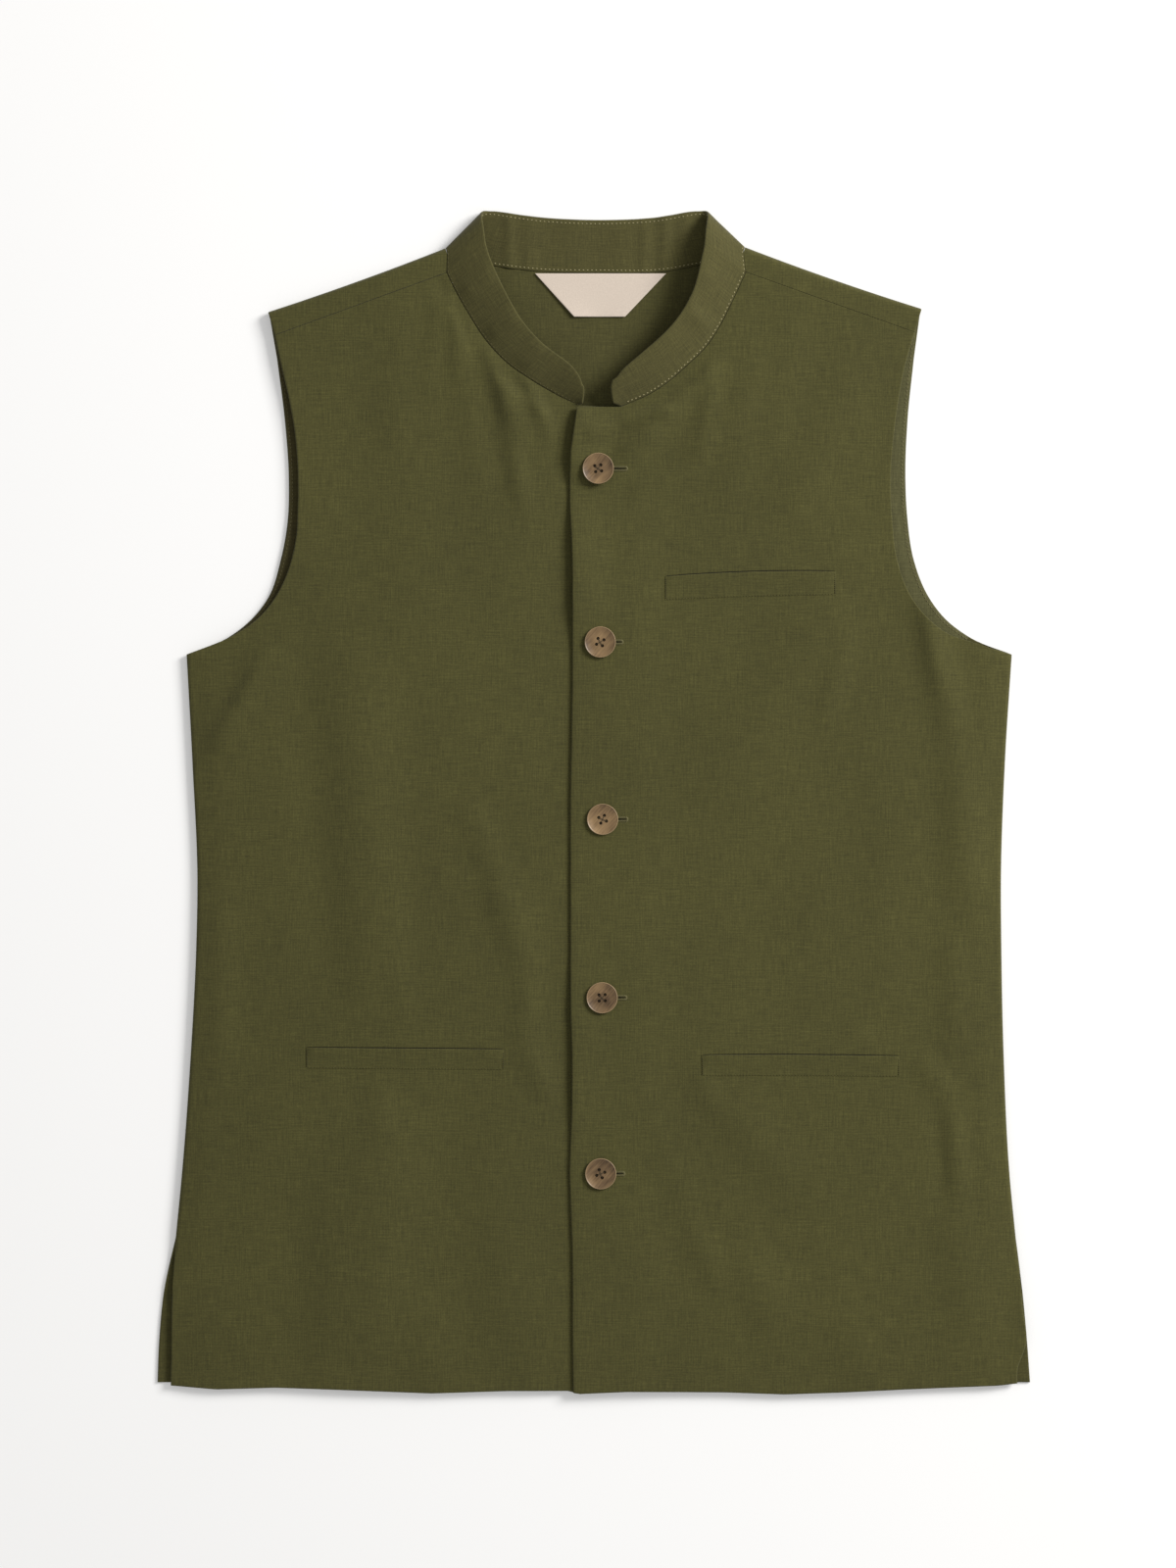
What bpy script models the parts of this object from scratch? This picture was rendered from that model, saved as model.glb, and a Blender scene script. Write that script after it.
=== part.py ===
"""A sleeveless band-collar jacket, buttoned and laid flat on its back, as closed solids.

Plan: +X is the wearer's left, +Y runs up the jacket to the collar, and +Z points up from
the table. The back panel lies on z = 0, its sides curl up to the side seams, and its top
folds over both shoulders on to the chest, where it meets the two fronts. The wearer's left
front lies over the right one. The tables are in millimetres.
"""
import math

import bmesh
import bpy
import numpy as np
from mathutils import Vector
from mathutils.bvhtree import BVHTree

MM = 0.001

# Cloth, in millimetres.
BACK_WALL = 1.5
FRONT_WALL = 1.6
COLLAR_WALL = 1.9
TRIM_WALL = 0.9
WELT_WALL = 1.0
SEAM_GAP = 0.3
COLLAR_GAP = 0.4
COLLAR_BOW = 0.12

# Heights above the table, in millimetres: outer faces unless a name says otherwise.
BODY_Z = 5.6
SHOULDER_NECK_Z = 6.5
SHOULDER_SAG = 0.9
NECK_RISE = 0.9
UNDERLAP_DROP = 1.0
OVERLAP_RISE = 1.05
EDGE_LIFT = 2.6
FOLD_LIMIT = 2.6
HEM_DROP = 0.6
VENT_DROP = 0.9
BACK_SEAM_Z = 2.6
FRONT_SEAM_Z = 2.9
SIDE_CURL = 3.0
SIDE_FALL = 1.2
SIDE_FALL_WIDTH = 20.0

# The closing at the centre front, in millimetres.
UNDERLAP_X = 20.0
BUTTON_DIAMETER = 18.8

# Hems, in millimetres: the lower edge of the fronts sags a little between its corners.
FRONT_HEM = [
    # x, y
    (-250.0, -345.4), (-223.0, -347.6), (-188.0, -346.6), (-154.0, -347.7), (-96.0, -350.0),
    (-50.0, -348.6), (-14.0, -348.6), (-10.0, -350.3), (20.0, -349.0), (78.0, -349.4),
    (113.0, -350.6), (148.0, -349.4), (183.0, -347.7), (240.0, -345.4), (250.0, -344.2),
]

# Sides from the vent's top to the armpit, and the two layers of each vent below it.
SIDE_SEAM = [
    # y, left_x, right_x
    (-257.8, -247.1, 249.4), (-221.8, -243.6, 245.9), (-152.2, -238.4, 242.4),
    (-82.6, -234.9, 240.9), (-47.8, -234.3, 240.7), (21.8, -237.2, 243.0), (86.7, -240.7, 247.1),
]
BACK_VENT = [
    # y, left_x, right_x
    (-343.8, -258.1, 258.1), (-320.0, -257.2, 256.4), (-287.0, -253.8, 253.3), (-257.8, -247.1, 249.4),
]
FRONT_VENT = [
    # y, left_x, right_x
    (-345.0, -250.0, 250.3), (-335.0, -249.9, 250.8), (-329.0, -249.7, 252.9), (-322.0, -249.6, 255.3),
    (-300.0, -249.4, 253.5), (-257.8, -247.1, 249.4),
]

# Armholes from the armpit up. The back's edge lies outside the front's edge.
BACK_ARMHOLE = [
    # left_x, left_y, right_x, right_y
    (-240.7, 86.7, 247.1, 86.7), (-215.8, 97.1, 222.1, 97.1), (-201.3, 108.7, 207.1, 108.7),
    (-192.6, 120.3, 198.4, 120.3), (-185.0, 143.5, 189.1, 143.5), (-181.0, 166.8, 185.6, 166.8),
    (-180.4, 190.0, 184.4, 190.0), (-182.7, 224.7, 185.6, 224.7), (-187.4, 262.0, 189.4, 262.0),
]
FRONT_ARMHOLE_LOW = [
    # left_x, left_y, right_x, right_y
    (-240.7, 86.7, 247.1, 86.7), (-212.3, 98.3, 222.7, 94.2), (-198.9, 107.6, 209.4, 98.9),
    (-188.5, 119.8, 196.0, 109.3), (-181.5, 133.7, 185.6, 124.4), (-176.3, 152.8, 179.8, 140.6),
    (-174.6, 180.0, 175.8, 172.0),
]
FRONT_ARMHOLE_HIGH = [
    # left_x, left_y, right_x, right_y
    (-174.6, 180.0, 175.8, 172.0), (-175.0, 199.0, 175.5, 192.0), (-176.8, 219.0, 177.0, 213.0),
    (-179.8, 236.3, 179.8, 235.2), (-185.0, 259.0, 184.4, 259.0), (-188.5, 275.2, 189.7, 276.9),
]

# Shoulders: the fold over the top, and the seam in front of it, at the arm and at the neck.
SHOULDER = [
    # fold_arm_x, fold_arm_y, fold_neck_x, fold_neck_y, seam_arm_x, seam_arm_y, seam_neck_x, seam_neck_y
    (-192.6, 289.1, -87.0, 327.4, -188.5, 275.2, -87.0, 312.0),
    (193.9, 291.0, 88.7, 327.4, 189.7, 276.9, 89.8, 312.4),
]

# The overlap's edge, from the hem to its top corner, and how high each front's closing reaches.
OVERLAP_EDGE = [
    # y, x
    (-350.3, -10.4), (-280.0, -11.0), (-164.0, -12.2), (68.0, -12.2), (137.0, -11.9),
    (185.0, -13.5), (207.0, -13.1), (233.4, -9.9),
]
CLOSING_TOP_Y = (232.0, 232.9)

# Neckline of each front, from the centre front to the shoulder seam, with the collar's free edge.
NECK_LEFT = [
    # seam_x, seam_y, edge_x, edge_y, edge_z
    (-8.5, 233.9, -7.2, 234.9, 7.6), (-11.6, 235.2, -5.7, 240.1, 9.2),
    (-15.1, 236.7, -6.0, 245.5, 10.2), (-19.1, 238.5, -7.7, 249.9, 11.0),
    (-25.4, 241.9, -12.5, 256.3, 11.4), (-39.1, 250.0, -24.9, 265.5, 12.0),
    (-51.6, 259.0, -33.2, 272.6, 12.3), (-64.4, 272.9, -44.0, 285.6, 12.7),
    (-74.2, 288.0, -53.5, 302.9, 13.0), (-81.8, 301.3, -59.9, 316.8, 13.0),
    (-87.0, 312.0, -64.2, 328.4, 13.2),
]
NECK_RIGHT = [
    # seam_x, seam_y, edge_x, edge_y, edge_z
    (15.6, 232.9, 11.7, 234.6, 9.8), (18.2, 233.9, 9.9, 242.8, 13.6),
    (21.2, 235.1, 11.1, 247.6, 15.2), (24.9, 236.6, 14.7, 252.2, 16.2),
    (30.2, 238.9, 21.2, 257.5, 17.0), (42.7, 246.6, 31.3, 266.0, 17.6),
    (55.1, 257.3, 41.7, 275.2, 18.0), (66.7, 268.8, 50.2, 285.1, 18.0),
    (74.2, 280.1, 56.8, 296.0, 18.0), (80.6, 292.6, 61.0, 307.4, 18.0),
    (85.3, 302.6, 63.5, 318.9, 17.5), (89.8, 312.4, 65.8, 329.4, 16.5),
]
NECK_BACK = [
    # seam_x, seam_y, edge_x, edge_y, edge_z
    (-86.7, 323.7, -64.0, 348.9, 0.4), (-73.5, 319.9, -57.6, 348.9, 0.8),
    (-60.9, 317.0, -50.6, 347.8, 1.0), (-34.2, 313.5, -30.6, 345.2, 1.0),
    (1.6, 312.6, 0.6, 343.7, 1.0), (43.5, 313.5, 38.6, 345.4, 1.0),
    (62.1, 317.0, 52.4, 347.9, 1.0), (75.4, 320.2, 59.0, 348.9, 0.8), (88.4, 324.3, 65.4, 348.9, 0.4),
]

# The collar's free edge where it turns over each shoulder: lower point, upper point, outermost point.
COLLAR_TURN = [
    # low_x, low_y, low_z, high_x, high_y, high_z, out_x, out_y
    (-64.0, 348.9, 0.4, -65.1, 342.6, 12.5, -68.0, 349.9),
    (65.4, 348.9, 0.4, 66.3, 342.6, 12.5, 69.2, 349.9),
]

# Where the overlap's closing edge stands open a little.
EDGE_OPENINGS = [
    # middle_y, half_length, share of the lift where the overlap's edge stands open
    (214.0, 21.0, 1.0), (136.0, 34.0, 1.0), (-146.0, 44.0, 0.5),
]

# Soft folds of the fronts, in millimetres: a trough or a ridge along a line, fading at its ends.
FOLDS = [
    # x0, y0, x1, y1, half_width, height
    (-78.7, 318.0, -80.0, 246.0, 7.0, 1.6), (-61.0, 286.0, -37.0, 208.0, 7.0, 2.0),
    (-44.0, 262.0, -24.0, 208.0, 5.5, 1.4), (-183.0, 92.0, -222.0, 27.0, 11.0, 2.4),
    (-140.0, 100.0, -134.0, -137.0, 19.0, 3.2), (-126.0, -175.0, -137.0, -335.0, 21.0, 3.2),
    (-75.0, 0.0, -56.0, -46.0, 9.0, 1.4), (-58.0, -36.0, -39.0, -104.0, 10.0, 1.9),
    (-39.0, -98.0, -37.0, -144.0, 8.0, 1.4), (-36.0, -140.0, -16.0, -182.0, 8.0, 1.9),
    (28.0, 208.0, 70.0, 262.0, 6.5, 2.0), (46.0, 192.0, 96.0, 240.0, 9.0, 1.4),
    (196.0, 122.0, 213.0, 35.0, 9.0, 2.6), (213.0, 35.0, 219.0, -60.0, 11.0, 1.9),
    (190.0, -150.0, 211.0, -176.0, 7.0, 1.2), (211.0, -176.0, 216.0, -238.0, 7.0, 1.7),
    (76.0, -176.0, 119.0, -228.0, 14.0, 1.7), (82.0, -262.0, 110.0, -312.0, 14.0, 1.5),
    (148.0, 126.0, 63.0, -5.0, 22.0, 1.8), (-221.0, -50.0, -219.0, -168.0, 9.0, 0.9),
    (120.0, 20.0, 140.0, -130.0, 26.0, 1.0), (-112.0, 210.0, -104.0, 60.0, 24.0, 1.2),
]

# Pocket welts: centre of the lower edge, length, height, and how far the right end rises.
WELTS = {
    # name: (x, y, length, height, rise)
    "welt_chest": (92.5, 120.2, 101.0, 14.0, 3.0),
    "welt_lower_left": (122.2, -162.4, 117.0, 12.2, -0.6),
    "welt_lower_right": (-111.4, -158.2, 117.0, 12.2, -1.0),
}

BUTTONS = [
    # x, y, turn in degrees
    (2.6, 196.3, 8.0), (3.8, 93.9, -14.0), (5.2, -10.7, 20.0), (4.9, -116.0, 2.0), (4.1, -219.9, -24.0),
]
BUTTON_PROFILE = [
    # radius, height
    (7.4, 0.0), (9.0, 0.4), (9.4, 1.0), (9.3, 1.6), (8.9, 1.9), (8.3, 1.7), (6.4, 1.1), (4.2, 0.95),
]
BUTTON_CENTRE_Z = 0.95
HOLE_OFFSET = 1.75
HOLE_RADIUS = 0.8

LABEL_CORNERS = ((-34.8, 312.5), (42.8, 312.5), (18.5, 286.4), (-11.7, 286.4))
FACING_WIDTH = 17.0
FACING_INSET = 0.7

# Grid steps: rows along each stretch, columns across, and the turns of curls and folds.
VENT_ROWS = 6
SIDE_ROWS = 18
ARMHOLE_ROWS = 10
NECK_ROWS = 12
YOKE_ROWS = 3
BODY_COLUMNS = 17
YOKE_COLUMNS = 5
BACK_NECK_COLUMNS = 10
CURL_ANGLES = np.radians([0.0, 30.0, 60.0])
FOLD_ANGLES = np.radians([-90.0, -60.0, -30.0, 0.0, 30.0, 60.0, 90.0])
COLLAR_ACROSS = 4
ROUND_STEPS = 24

OLIVE = (0.080, 0.072, 0.026)
OLIVE_DARK = (0.066, 0.060, 0.024)
HORN = (0.19, 0.13, 0.07)
BEIGE = (0.70, 0.60, 0.50)


# --- Curves and heights -------------------------------------------------------------------

def ramp(t):
    """An even step from 0 to 1 with flat ends."""
    t = np.clip(t, 0.0, 1.0)
    return t * t * (3.0 - 2.0 * t)


def smooth_path(table, count):
    """A smooth curve through the table's rows, read at count + 1 evenly spaced places.

    Each span is a Hermite curve whose end slopes come from the neighbouring rows. Distance is
    measured on the first two columns, and the other columns follow them.
    """
    table = np.array(table, dtype=float)
    gap = np.linalg.norm(np.diff(table[:, :2], axis=0), axis=1)
    along = np.concatenate([[0.0], np.cumsum(gap)])
    slope = np.gradient(table, along, axis=0)
    fine = np.linspace(0.0, along[-1], 16 * len(gap) + 1)
    span = np.clip(np.searchsorted(along, fine, side="right") - 1, 0, len(gap) - 1)
    width = gap[span][:, None]
    t = (fine[:, None] - along[span][:, None]) / width
    curve = (table[span] * (1.0 + 2.0 * t) * (1.0 - t) ** 2
             + slope[span] * width * t * (1.0 - t) ** 2
             + table[span + 1] * t ** 2 * (3.0 - 2.0 * t)
             + slope[span + 1] * width * t ** 2 * (t - 1.0))
    length = np.concatenate([[0.0], np.cumsum(np.linalg.norm(np.diff(curve[:, :2], axis=0), axis=1))])
    wanted = np.linspace(0.0, length[-1], count + 1)
    return np.column_stack([np.interp(wanted, length, column) for column in curve.T])


def join_stretches(stretches):
    """One path from several that start where the last one ended."""
    return np.vstack([stretches[0]] + [stretch[1:] for stretch in stretches[1:]])


def side_stretch(table, side, count):
    """A stretch of one side's outline as x, y. side is 0 for -X and 1 for +X."""
    return smooth_path([(row[1 + side], row[0]) for row in table], count)


def armhole_stretch(table, side, count):
    """A stretch of one armhole's edge as x, y."""
    return smooth_path([row[2 * side:2 * side + 2] for row in table], count)


def shoulder_z(x):
    """Height of the shoulder strip: lowest at the arm, highest at the neck."""
    arm_x, neck_x = 190.0, 88.0
    share = np.clip((arm_x - np.abs(x)) / (arm_x - neck_x), 0.0, 1.0)
    return BODY_Z + (SHOULDER_NECK_Z - BODY_Z) * share


def fold_relief(x, y):
    """Height that the soft folds add: a bell across each line, by distance to the line."""
    relief = np.zeros_like(x)
    for x0, y0, x1, y1, half_width, height in FOLDS:
        run = np.array([x1 - x0, y1 - y0])
        t = np.clip(((x - x0) * run[0] + (y - y0) * run[1]) / (run @ run), 0.0, 1.0)
        away = np.hypot(x - x0 - t * run[0], y - y0 - t * run[1])
        relief += height * np.exp(-(away / half_width) ** 2)
    return FOLD_LIMIT * np.tanh(relief / FOLD_LIMIT)


def front_z(x, y, over):
    """Outer height of a front. over is True for the wearer's left front, which lies on top."""
    below_shoulder = 345.3 - 0.366 * np.abs(x) - y
    from_neck = np.hypot(x - 1.6, y - 318.0) - 85.0
    rise = (shoulder_z(x) - BODY_Z) * (1.0 - ramp(below_shoulder / 50.0))
    neck = NECK_RISE * (1.0 - ramp(from_neck / 36.0))
    if over:
        closing = OVERLAP_RISE * (1.0 - ramp((x - 22.0) / 28.0))
        rise = np.maximum(rise, np.maximum(neck, closing))
        high = sum(share * np.exp(-((y - middle) / reach) ** 4) for middle, reach, share in EDGE_OPENINGS)
        edge_lift = EDGE_LIFT * ramp((14.0 - x) / 27.0) * high
    else:
        rise = np.maximum(rise, neck * ramp((-15.0 - x) / 45.0))
        edge_lift = -UNDERLAP_DROP * ramp((x + 45.0) / 30.0)
    fade = ramp(below_shoulder / 16.0) * ramp(from_neck / 9.0)
    if not over:
        fade = fade * (1.0 - ramp((x + 34.0) / 18.0))
    hem = HEM_DROP * (1.0 - ramp((y + 350.0) / 26.0))
    vent = VENT_DROP * ramp((-248.0 - y) / 30.0) * (1.0 - ramp((250.0 - np.abs(x)) / 20.0))
    return BODY_Z + rise + edge_lift + fade * fold_relief(x, y) - hem - vent


# --- Closed solids ------------------------------------------------------------------------

def cloth_material(name, colour, roughness):
    material = bpy.data.materials.new(name)
    material.use_nodes = True
    shader = material.node_tree.nodes["Principled BSDF"]
    shader.inputs["Base Color"].default_value = (*colour, 1.0)
    shader.inputs["Roughness"].default_value = roughness
    shader.inputs["Metallic"].default_value = 0.0
    return material


def add_object(name, mesh, colour, roughness=0.9):
    mesh.materials.clear()
    mesh.materials.append(cloth_material(name, colour, roughness))
    thing = bpy.data.objects.new(name, mesh)
    bpy.context.scene.collection.objects.link(thing)
    return thing


def wall_mesh(name, outer, inner, used=None):
    """Close an outer and an inner grid into one wall. used marks the cells that exist."""
    rows, columns = outer.shape[:2]
    if used is None:
        used = np.ones((rows - 1, columns - 1), dtype=bool)
    skin = bmesh.new()
    points = {}

    def corner(layer, row, column):
        key = (layer, row, column)
        if key not in points:
            points[key] = skin.verts.new(Vector((outer, inner)[layer][row, column] * MM))
        return points[key]

    for row, column in zip(*np.nonzero(used)):
        ring = [(row, column), (row, column + 1), (row + 1, column + 1), (row + 1, column)]
        beyond = [(row - 1, column), (row, column + 1), (row + 1, column), (row, column - 1)]
        skin.faces.new([corner(0, *spot) for spot in ring])
        skin.faces.new([corner(1, *spot) for spot in reversed(ring)])
        for start, (next_row, next_column) in enumerate(beyond):
            inside = 0 <= next_row < rows - 1 and 0 <= next_column < columns - 1
            if inside and used[next_row, next_column]:
                continue
            first, second = ring[start], ring[(start + 1) % 4]
            skin.faces.new([corner(0, *second), corner(0, *first), corner(1, *first), corner(1, *second)])
    bmesh.ops.recalc_face_normals(skin, faces=skin.faces)
    mesh = bpy.data.meshes.new(name)
    skin.to_mesh(mesh)
    skin.free()
    mesh.shade_smooth()
    mesh.set_sharp_from_angle(angle=math.radians(40.0))
    return mesh


def curl_share(edge, armpit_y, vent_y):
    """How far each row's edge curls to the side seam: 1 along the seam, 0 at vents and armholes."""
    above = np.linalg.norm(edge - edge[np.argmin(np.abs(edge[:, 1] - armpit_y))], axis=1)
    above = np.where(edge[:, 1] > armpit_y, above, 0.0)
    below = np.maximum(vent_y - edge[:, 1], 0.0)
    return (1.0 - ramp(above / 22.0)) * (1.0 - ramp(below / 34.0))


# --- Panels -------------------------------------------------------------------------------

def closing_stretch(side, low_y, high_y, count):
    """A stretch of a front's closing edge, rising from low_y to high_y."""
    y = np.linspace(low_y, high_y, count + 1)
    x = np.full_like(y, UNDERLAP_X)
    if side == 1:
        table = np.array(OVERLAP_EDGE)
        x = np.interp(y, table[:, 0], table[:, 1])
    return np.column_stack([x, y])


def neckline(side):
    """A front's neckline from the centre front to the shoulder seam, with the collar's free edge."""
    return smooth_path((NECK_LEFT, NECK_RIGHT)[side], NECK_ROWS)


def front_outline(side):
    """The two ends of a front's rows: on its side and armhole, and on its closing and neckline."""
    outside = join_stretches([
        side_stretch(FRONT_VENT, side, VENT_ROWS),
        side_stretch(SIDE_SEAM, side, SIDE_ROWS),
        armhole_stretch(FRONT_ARMHOLE_LOW, side, ARMHOLE_ROWS),
        armhole_stretch(FRONT_ARMHOLE_HIGH, side, NECK_ROWS + 1),
    ])
    armpit_y, vent_y, top_y = SIDE_SEAM[-1][0], SIDE_SEAM[0][0], CLOSING_TOP_Y[side]
    closing = join_stretches([
        closing_stretch(side, FRONT_VENT[0][0], vent_y, VENT_ROWS),
        closing_stretch(side, vent_y, armpit_y, SIDE_ROWS),
        closing_stretch(side, armpit_y, top_y, ARMHOLE_ROWS),
    ])
    return outside, np.vstack([closing, neckline(side)[:, :2]])


def front_grids(side):
    """Outer and inner points of a front: straight rows from its side to its closing edge.

    The first columns turn down to the side seam as a quarter ellipse, and the inner face is a
    smaller ellipse about the same centre.
    """
    outside, closing = front_outline(side)
    run = closing - outside
    width = np.linalg.norm(run, axis=1)[:, None]
    curl = curl_share(outside, SIDE_SEAM[-1][0], SIDE_SEAM[0][0])[:, None]
    turn = np.concatenate([CURL_ANGLES, np.full(BODY_COLUMNS + 1, math.pi / 2)])
    share = np.linspace(0.0, 1.0, BODY_COLUMNS + 1)
    share = 0.6 * share + 0.4 * np.sin(share * math.pi / 2)
    near = np.broadcast_to(SIDE_CURL * (1.0 - np.cos(CURL_ANGLES)), (len(width), len(CURL_ANGLES)))
    along = np.hstack([near, SIDE_CURL + share * (width - SIDE_CURL)])

    def layer(inset):
        place = along + curl * inset * np.cos(turn)
        plan = outside[:, None] + run[:, None] * (place / width)[:, :, None]
        x, y = plan[:, :, 0], plan[:, :, 1]
        lift = np.clip(1.0 - np.arange(len(width)) / VENT_ROWS, 0.0, 1.0)[:, None] ** 2
        hem = np.array(FRONT_HEM)
        y = y + lift * (np.interp(x[0], hem[:, 0], hem[:, 1]) - y[0])
        fall = curl * SIDE_FALL * (1.0 - ramp(along / SIDE_FALL_WIDTH))
        flat = front_z(x, y, side == 1) - fall - inset
        z = flat + curl * (FRONT_SEAM_Z + (flat - FRONT_SEAM_Z) * np.sin(turn) - flat)
        return np.stack([x, y, z], axis=2)

    return layer(0.0), layer(FRONT_WALL)


def make_front(side, name):
    outer, inner = front_grids(side)
    return add_object(name, wall_mesh(name, outer, inner), OLIVE)


def shoulder_lines(side):
    """A shoulder's fold at the arm and neck, its seam at the arm and neck, and the outward direction."""
    points = np.array(SHOULDER[side]).reshape(4, 2)
    along = points[1] - points[0]
    outward = np.array([-along[1], along[0]]) / np.linalg.norm(along)
    return points, outward * np.sign(outward[1])


def half_turn(low, high, out, angle):
    """A point on a half ellipse from low to high, whose outermost point in plan is out."""
    middle = (low + high) / 2.0
    bulge = np.array([out[0] - middle[0], out[1] - middle[1], 0.0])
    return middle + (high - low) / 2.0 * math.sin(angle) + bulge * math.cos(angle)


def shoulder_turn(side, foot, height, angle, inset):
    """A point on the fold over a shoulder. foot is the plan point where the fold leaves the table."""
    outward = shoulder_lines(side)[1]
    low = np.array([*foot, inset])
    high = np.array([*foot, height - inset])
    return half_turn(low, high, foot + outward * (height / 2.0 - inset), angle)


def back_columns(left, right):
    """Where the back's columns stand on its highest straight row, and which are over the shoulders."""
    neck_x = smooth_path(NECK_BACK, BACK_NECK_COLUMNS)[:, 0]
    to_left = np.linspace(left[0] + SIDE_CURL, neck_x[0], YOKE_COLUMNS + 1)[:-1]
    to_right = np.linspace(neck_x[-1], right[0] - SIDE_CURL, YOKE_COLUMNS + 1)[1:]
    middle = np.concatenate([to_left, neck_x, to_right])
    share = (middle - middle[0]) / (middle[-1] - middle[0])
    count = len(CURL_ANGLES)
    return share, count + YOKE_COLUMNS, count + YOKE_COLUMNS + BACK_NECK_COLUMNS


def back_grids():
    """Outer and inner points of the back, and the cells that exist.

    Straight rows run from side to side up to the shoulders, a few rows bend to meet the neck
    and the feet of the shoulder folds, and the last rows go over the folds to the front seam.
    """
    sides = [join_stretches([
        side_stretch(BACK_VENT, side, VENT_ROWS),
        side_stretch(SIDE_SEAM, side, SIDE_ROWS),
        armhole_stretch(BACK_ARMHOLE, side, ARMHOLE_ROWS),
    ]) for side in (0, 1)]
    share, neck_first, neck_last = back_columns(sides[0][-1], sides[1][-1])
    curl_in = SIDE_CURL * (1.0 - np.cos(CURL_ANGLES))
    run = sides[1] - sides[0]
    width = np.linalg.norm(run, axis=1)[:, None]
    curls = [curl_share(edge, SIDE_SEAM[-1][0], SIDE_SEAM[0][0])[:, None] for edge in sides]
    flat = np.full(len(share), math.pi / 2)
    turn = np.concatenate([CURL_ANGLES, flat, CURL_ANGLES[::-1]])
    zeros = np.zeros(len(share))
    count = len(CURL_ANGLES)
    left_curl = np.hstack([np.repeat(curls[0], count, axis=1), np.tile(zeros, (len(width), 1)),
                           np.zeros((len(width), count))])
    right_curl = np.hstack([np.zeros((len(width), count)), np.tile(zeros, (len(width), 1)),
                            np.repeat(curls[1], count, axis=1)])
    along = np.hstack([np.tile(curl_in, (len(width), 1)), SIDE_CURL + share * (width - 2.0 * SIDE_CURL),
                       width - np.tile(curl_in[::-1], (len(width), 1))])

    def body(inset):
        place = along + (left_curl - right_curl) * inset * np.cos(turn)
        plan = sides[0][:, None] + run[:, None] * (place / width)[:, :, None]
        rise = BACK_SEAM_Z - (BACK_SEAM_Z - inset) * np.sin(turn)
        z = inset + (left_curl + right_curl) * (rise - inset)
        return np.dstack([plan, z])

    neck = smooth_path(NECK_BACK, BACK_NECK_COLUMNS)[:, :2]
    last = body(0.0)[-1, :, :2]

    def top(inset):
        """The folds' feet and the back neck: where the flat of the back ends."""
        line = np.zeros((len(turn), 3))
        line[neck_first:neck_last + 1, :2] = neck
        for side, columns in ((0, range(neck_first)), (1, range(neck_last + 1, len(turn)))):
            points, outward = shoulder_lines(side)
            foot_arm = points[0] - outward * shoulder_z(points[0][0]) / 2.0
            foot_neck = neck[-side]
            edge = last[-side][0]
            for column in columns:
                part = (last[column][0] - edge) / (foot_neck[0] - edge)
                sag = 4.0 * SHOULDER_SAG * part * (1.0 - part)
                line[column, :2] = foot_arm + (foot_neck - foot_arm) * part - outward * sag
        line[:, 2] = inset
        return line

    def over(inset):
        """Rows over the shoulder folds and down the strip in front of them."""
        feet = top(inset)
        rows = np.zeros((len(FOLD_ANGLES) + 1, len(turn), 3))
        for side, columns in ((0, range(neck_first + 1)), (1, range(neck_last, len(turn)))):
            points, outward = shoulder_lines(side)
            span = feet[(neck_first, neck_last)[side], 0] - feet[-side, 0]
            for column in columns:
                foot = feet[column, :2]
                height = float(shoulder_z(foot[0]))
                for row, angle in enumerate(FOLD_ANGLES[1:]):
                    rows[row, column] = shoulder_turn(side, foot, height, angle, inset)
                part = (foot[0] - feet[-side, 0]) / span
                seam = points[2] + (points[3] - points[2]) * part + outward * SEAM_GAP
                for row, part in ((-2, 0.5), (-1, 1.0)):
                    rows[row, column, :2] = foot + (seam - foot) * part
                    rows[row, column, 2] = height - inset
        return rows

    def layer(inset):
        straight = body(inset)
        bend = np.linspace(0.0, 1.0, YOKE_ROWS + 1)[1:, None, None]
        yoke = straight[-1] + (top(inset) - straight[-1]) * bend
        return np.vstack([straight, yoke, over(inset)])

    outer, inner = layer(0.0), layer(BACK_WALL)
    used = np.ones((outer.shape[0] - 1, outer.shape[1] - 1), dtype=bool)
    used[len(width) + YOKE_ROWS - 1:, neck_first:neck_last] = False
    return outer, inner, used


def make_back():
    outer, inner, used = back_grids()
    return add_object("back", wall_mesh("back", outer, inner, used), OLIVE_DARK)


# --- Collar -------------------------------------------------------------------------------

def plan_normals(path, towards):
    """Unit directions across a plan path, on the side where the point towards lies."""
    along = np.gradient(path, axis=0)
    across = np.column_stack([-along[:, 1], along[:, 0]])
    across /= np.linalg.norm(across, axis=1)[:, None]
    return across * np.sign(np.sum(across * (np.array(towards) - path), axis=1))[:, None]


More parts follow.
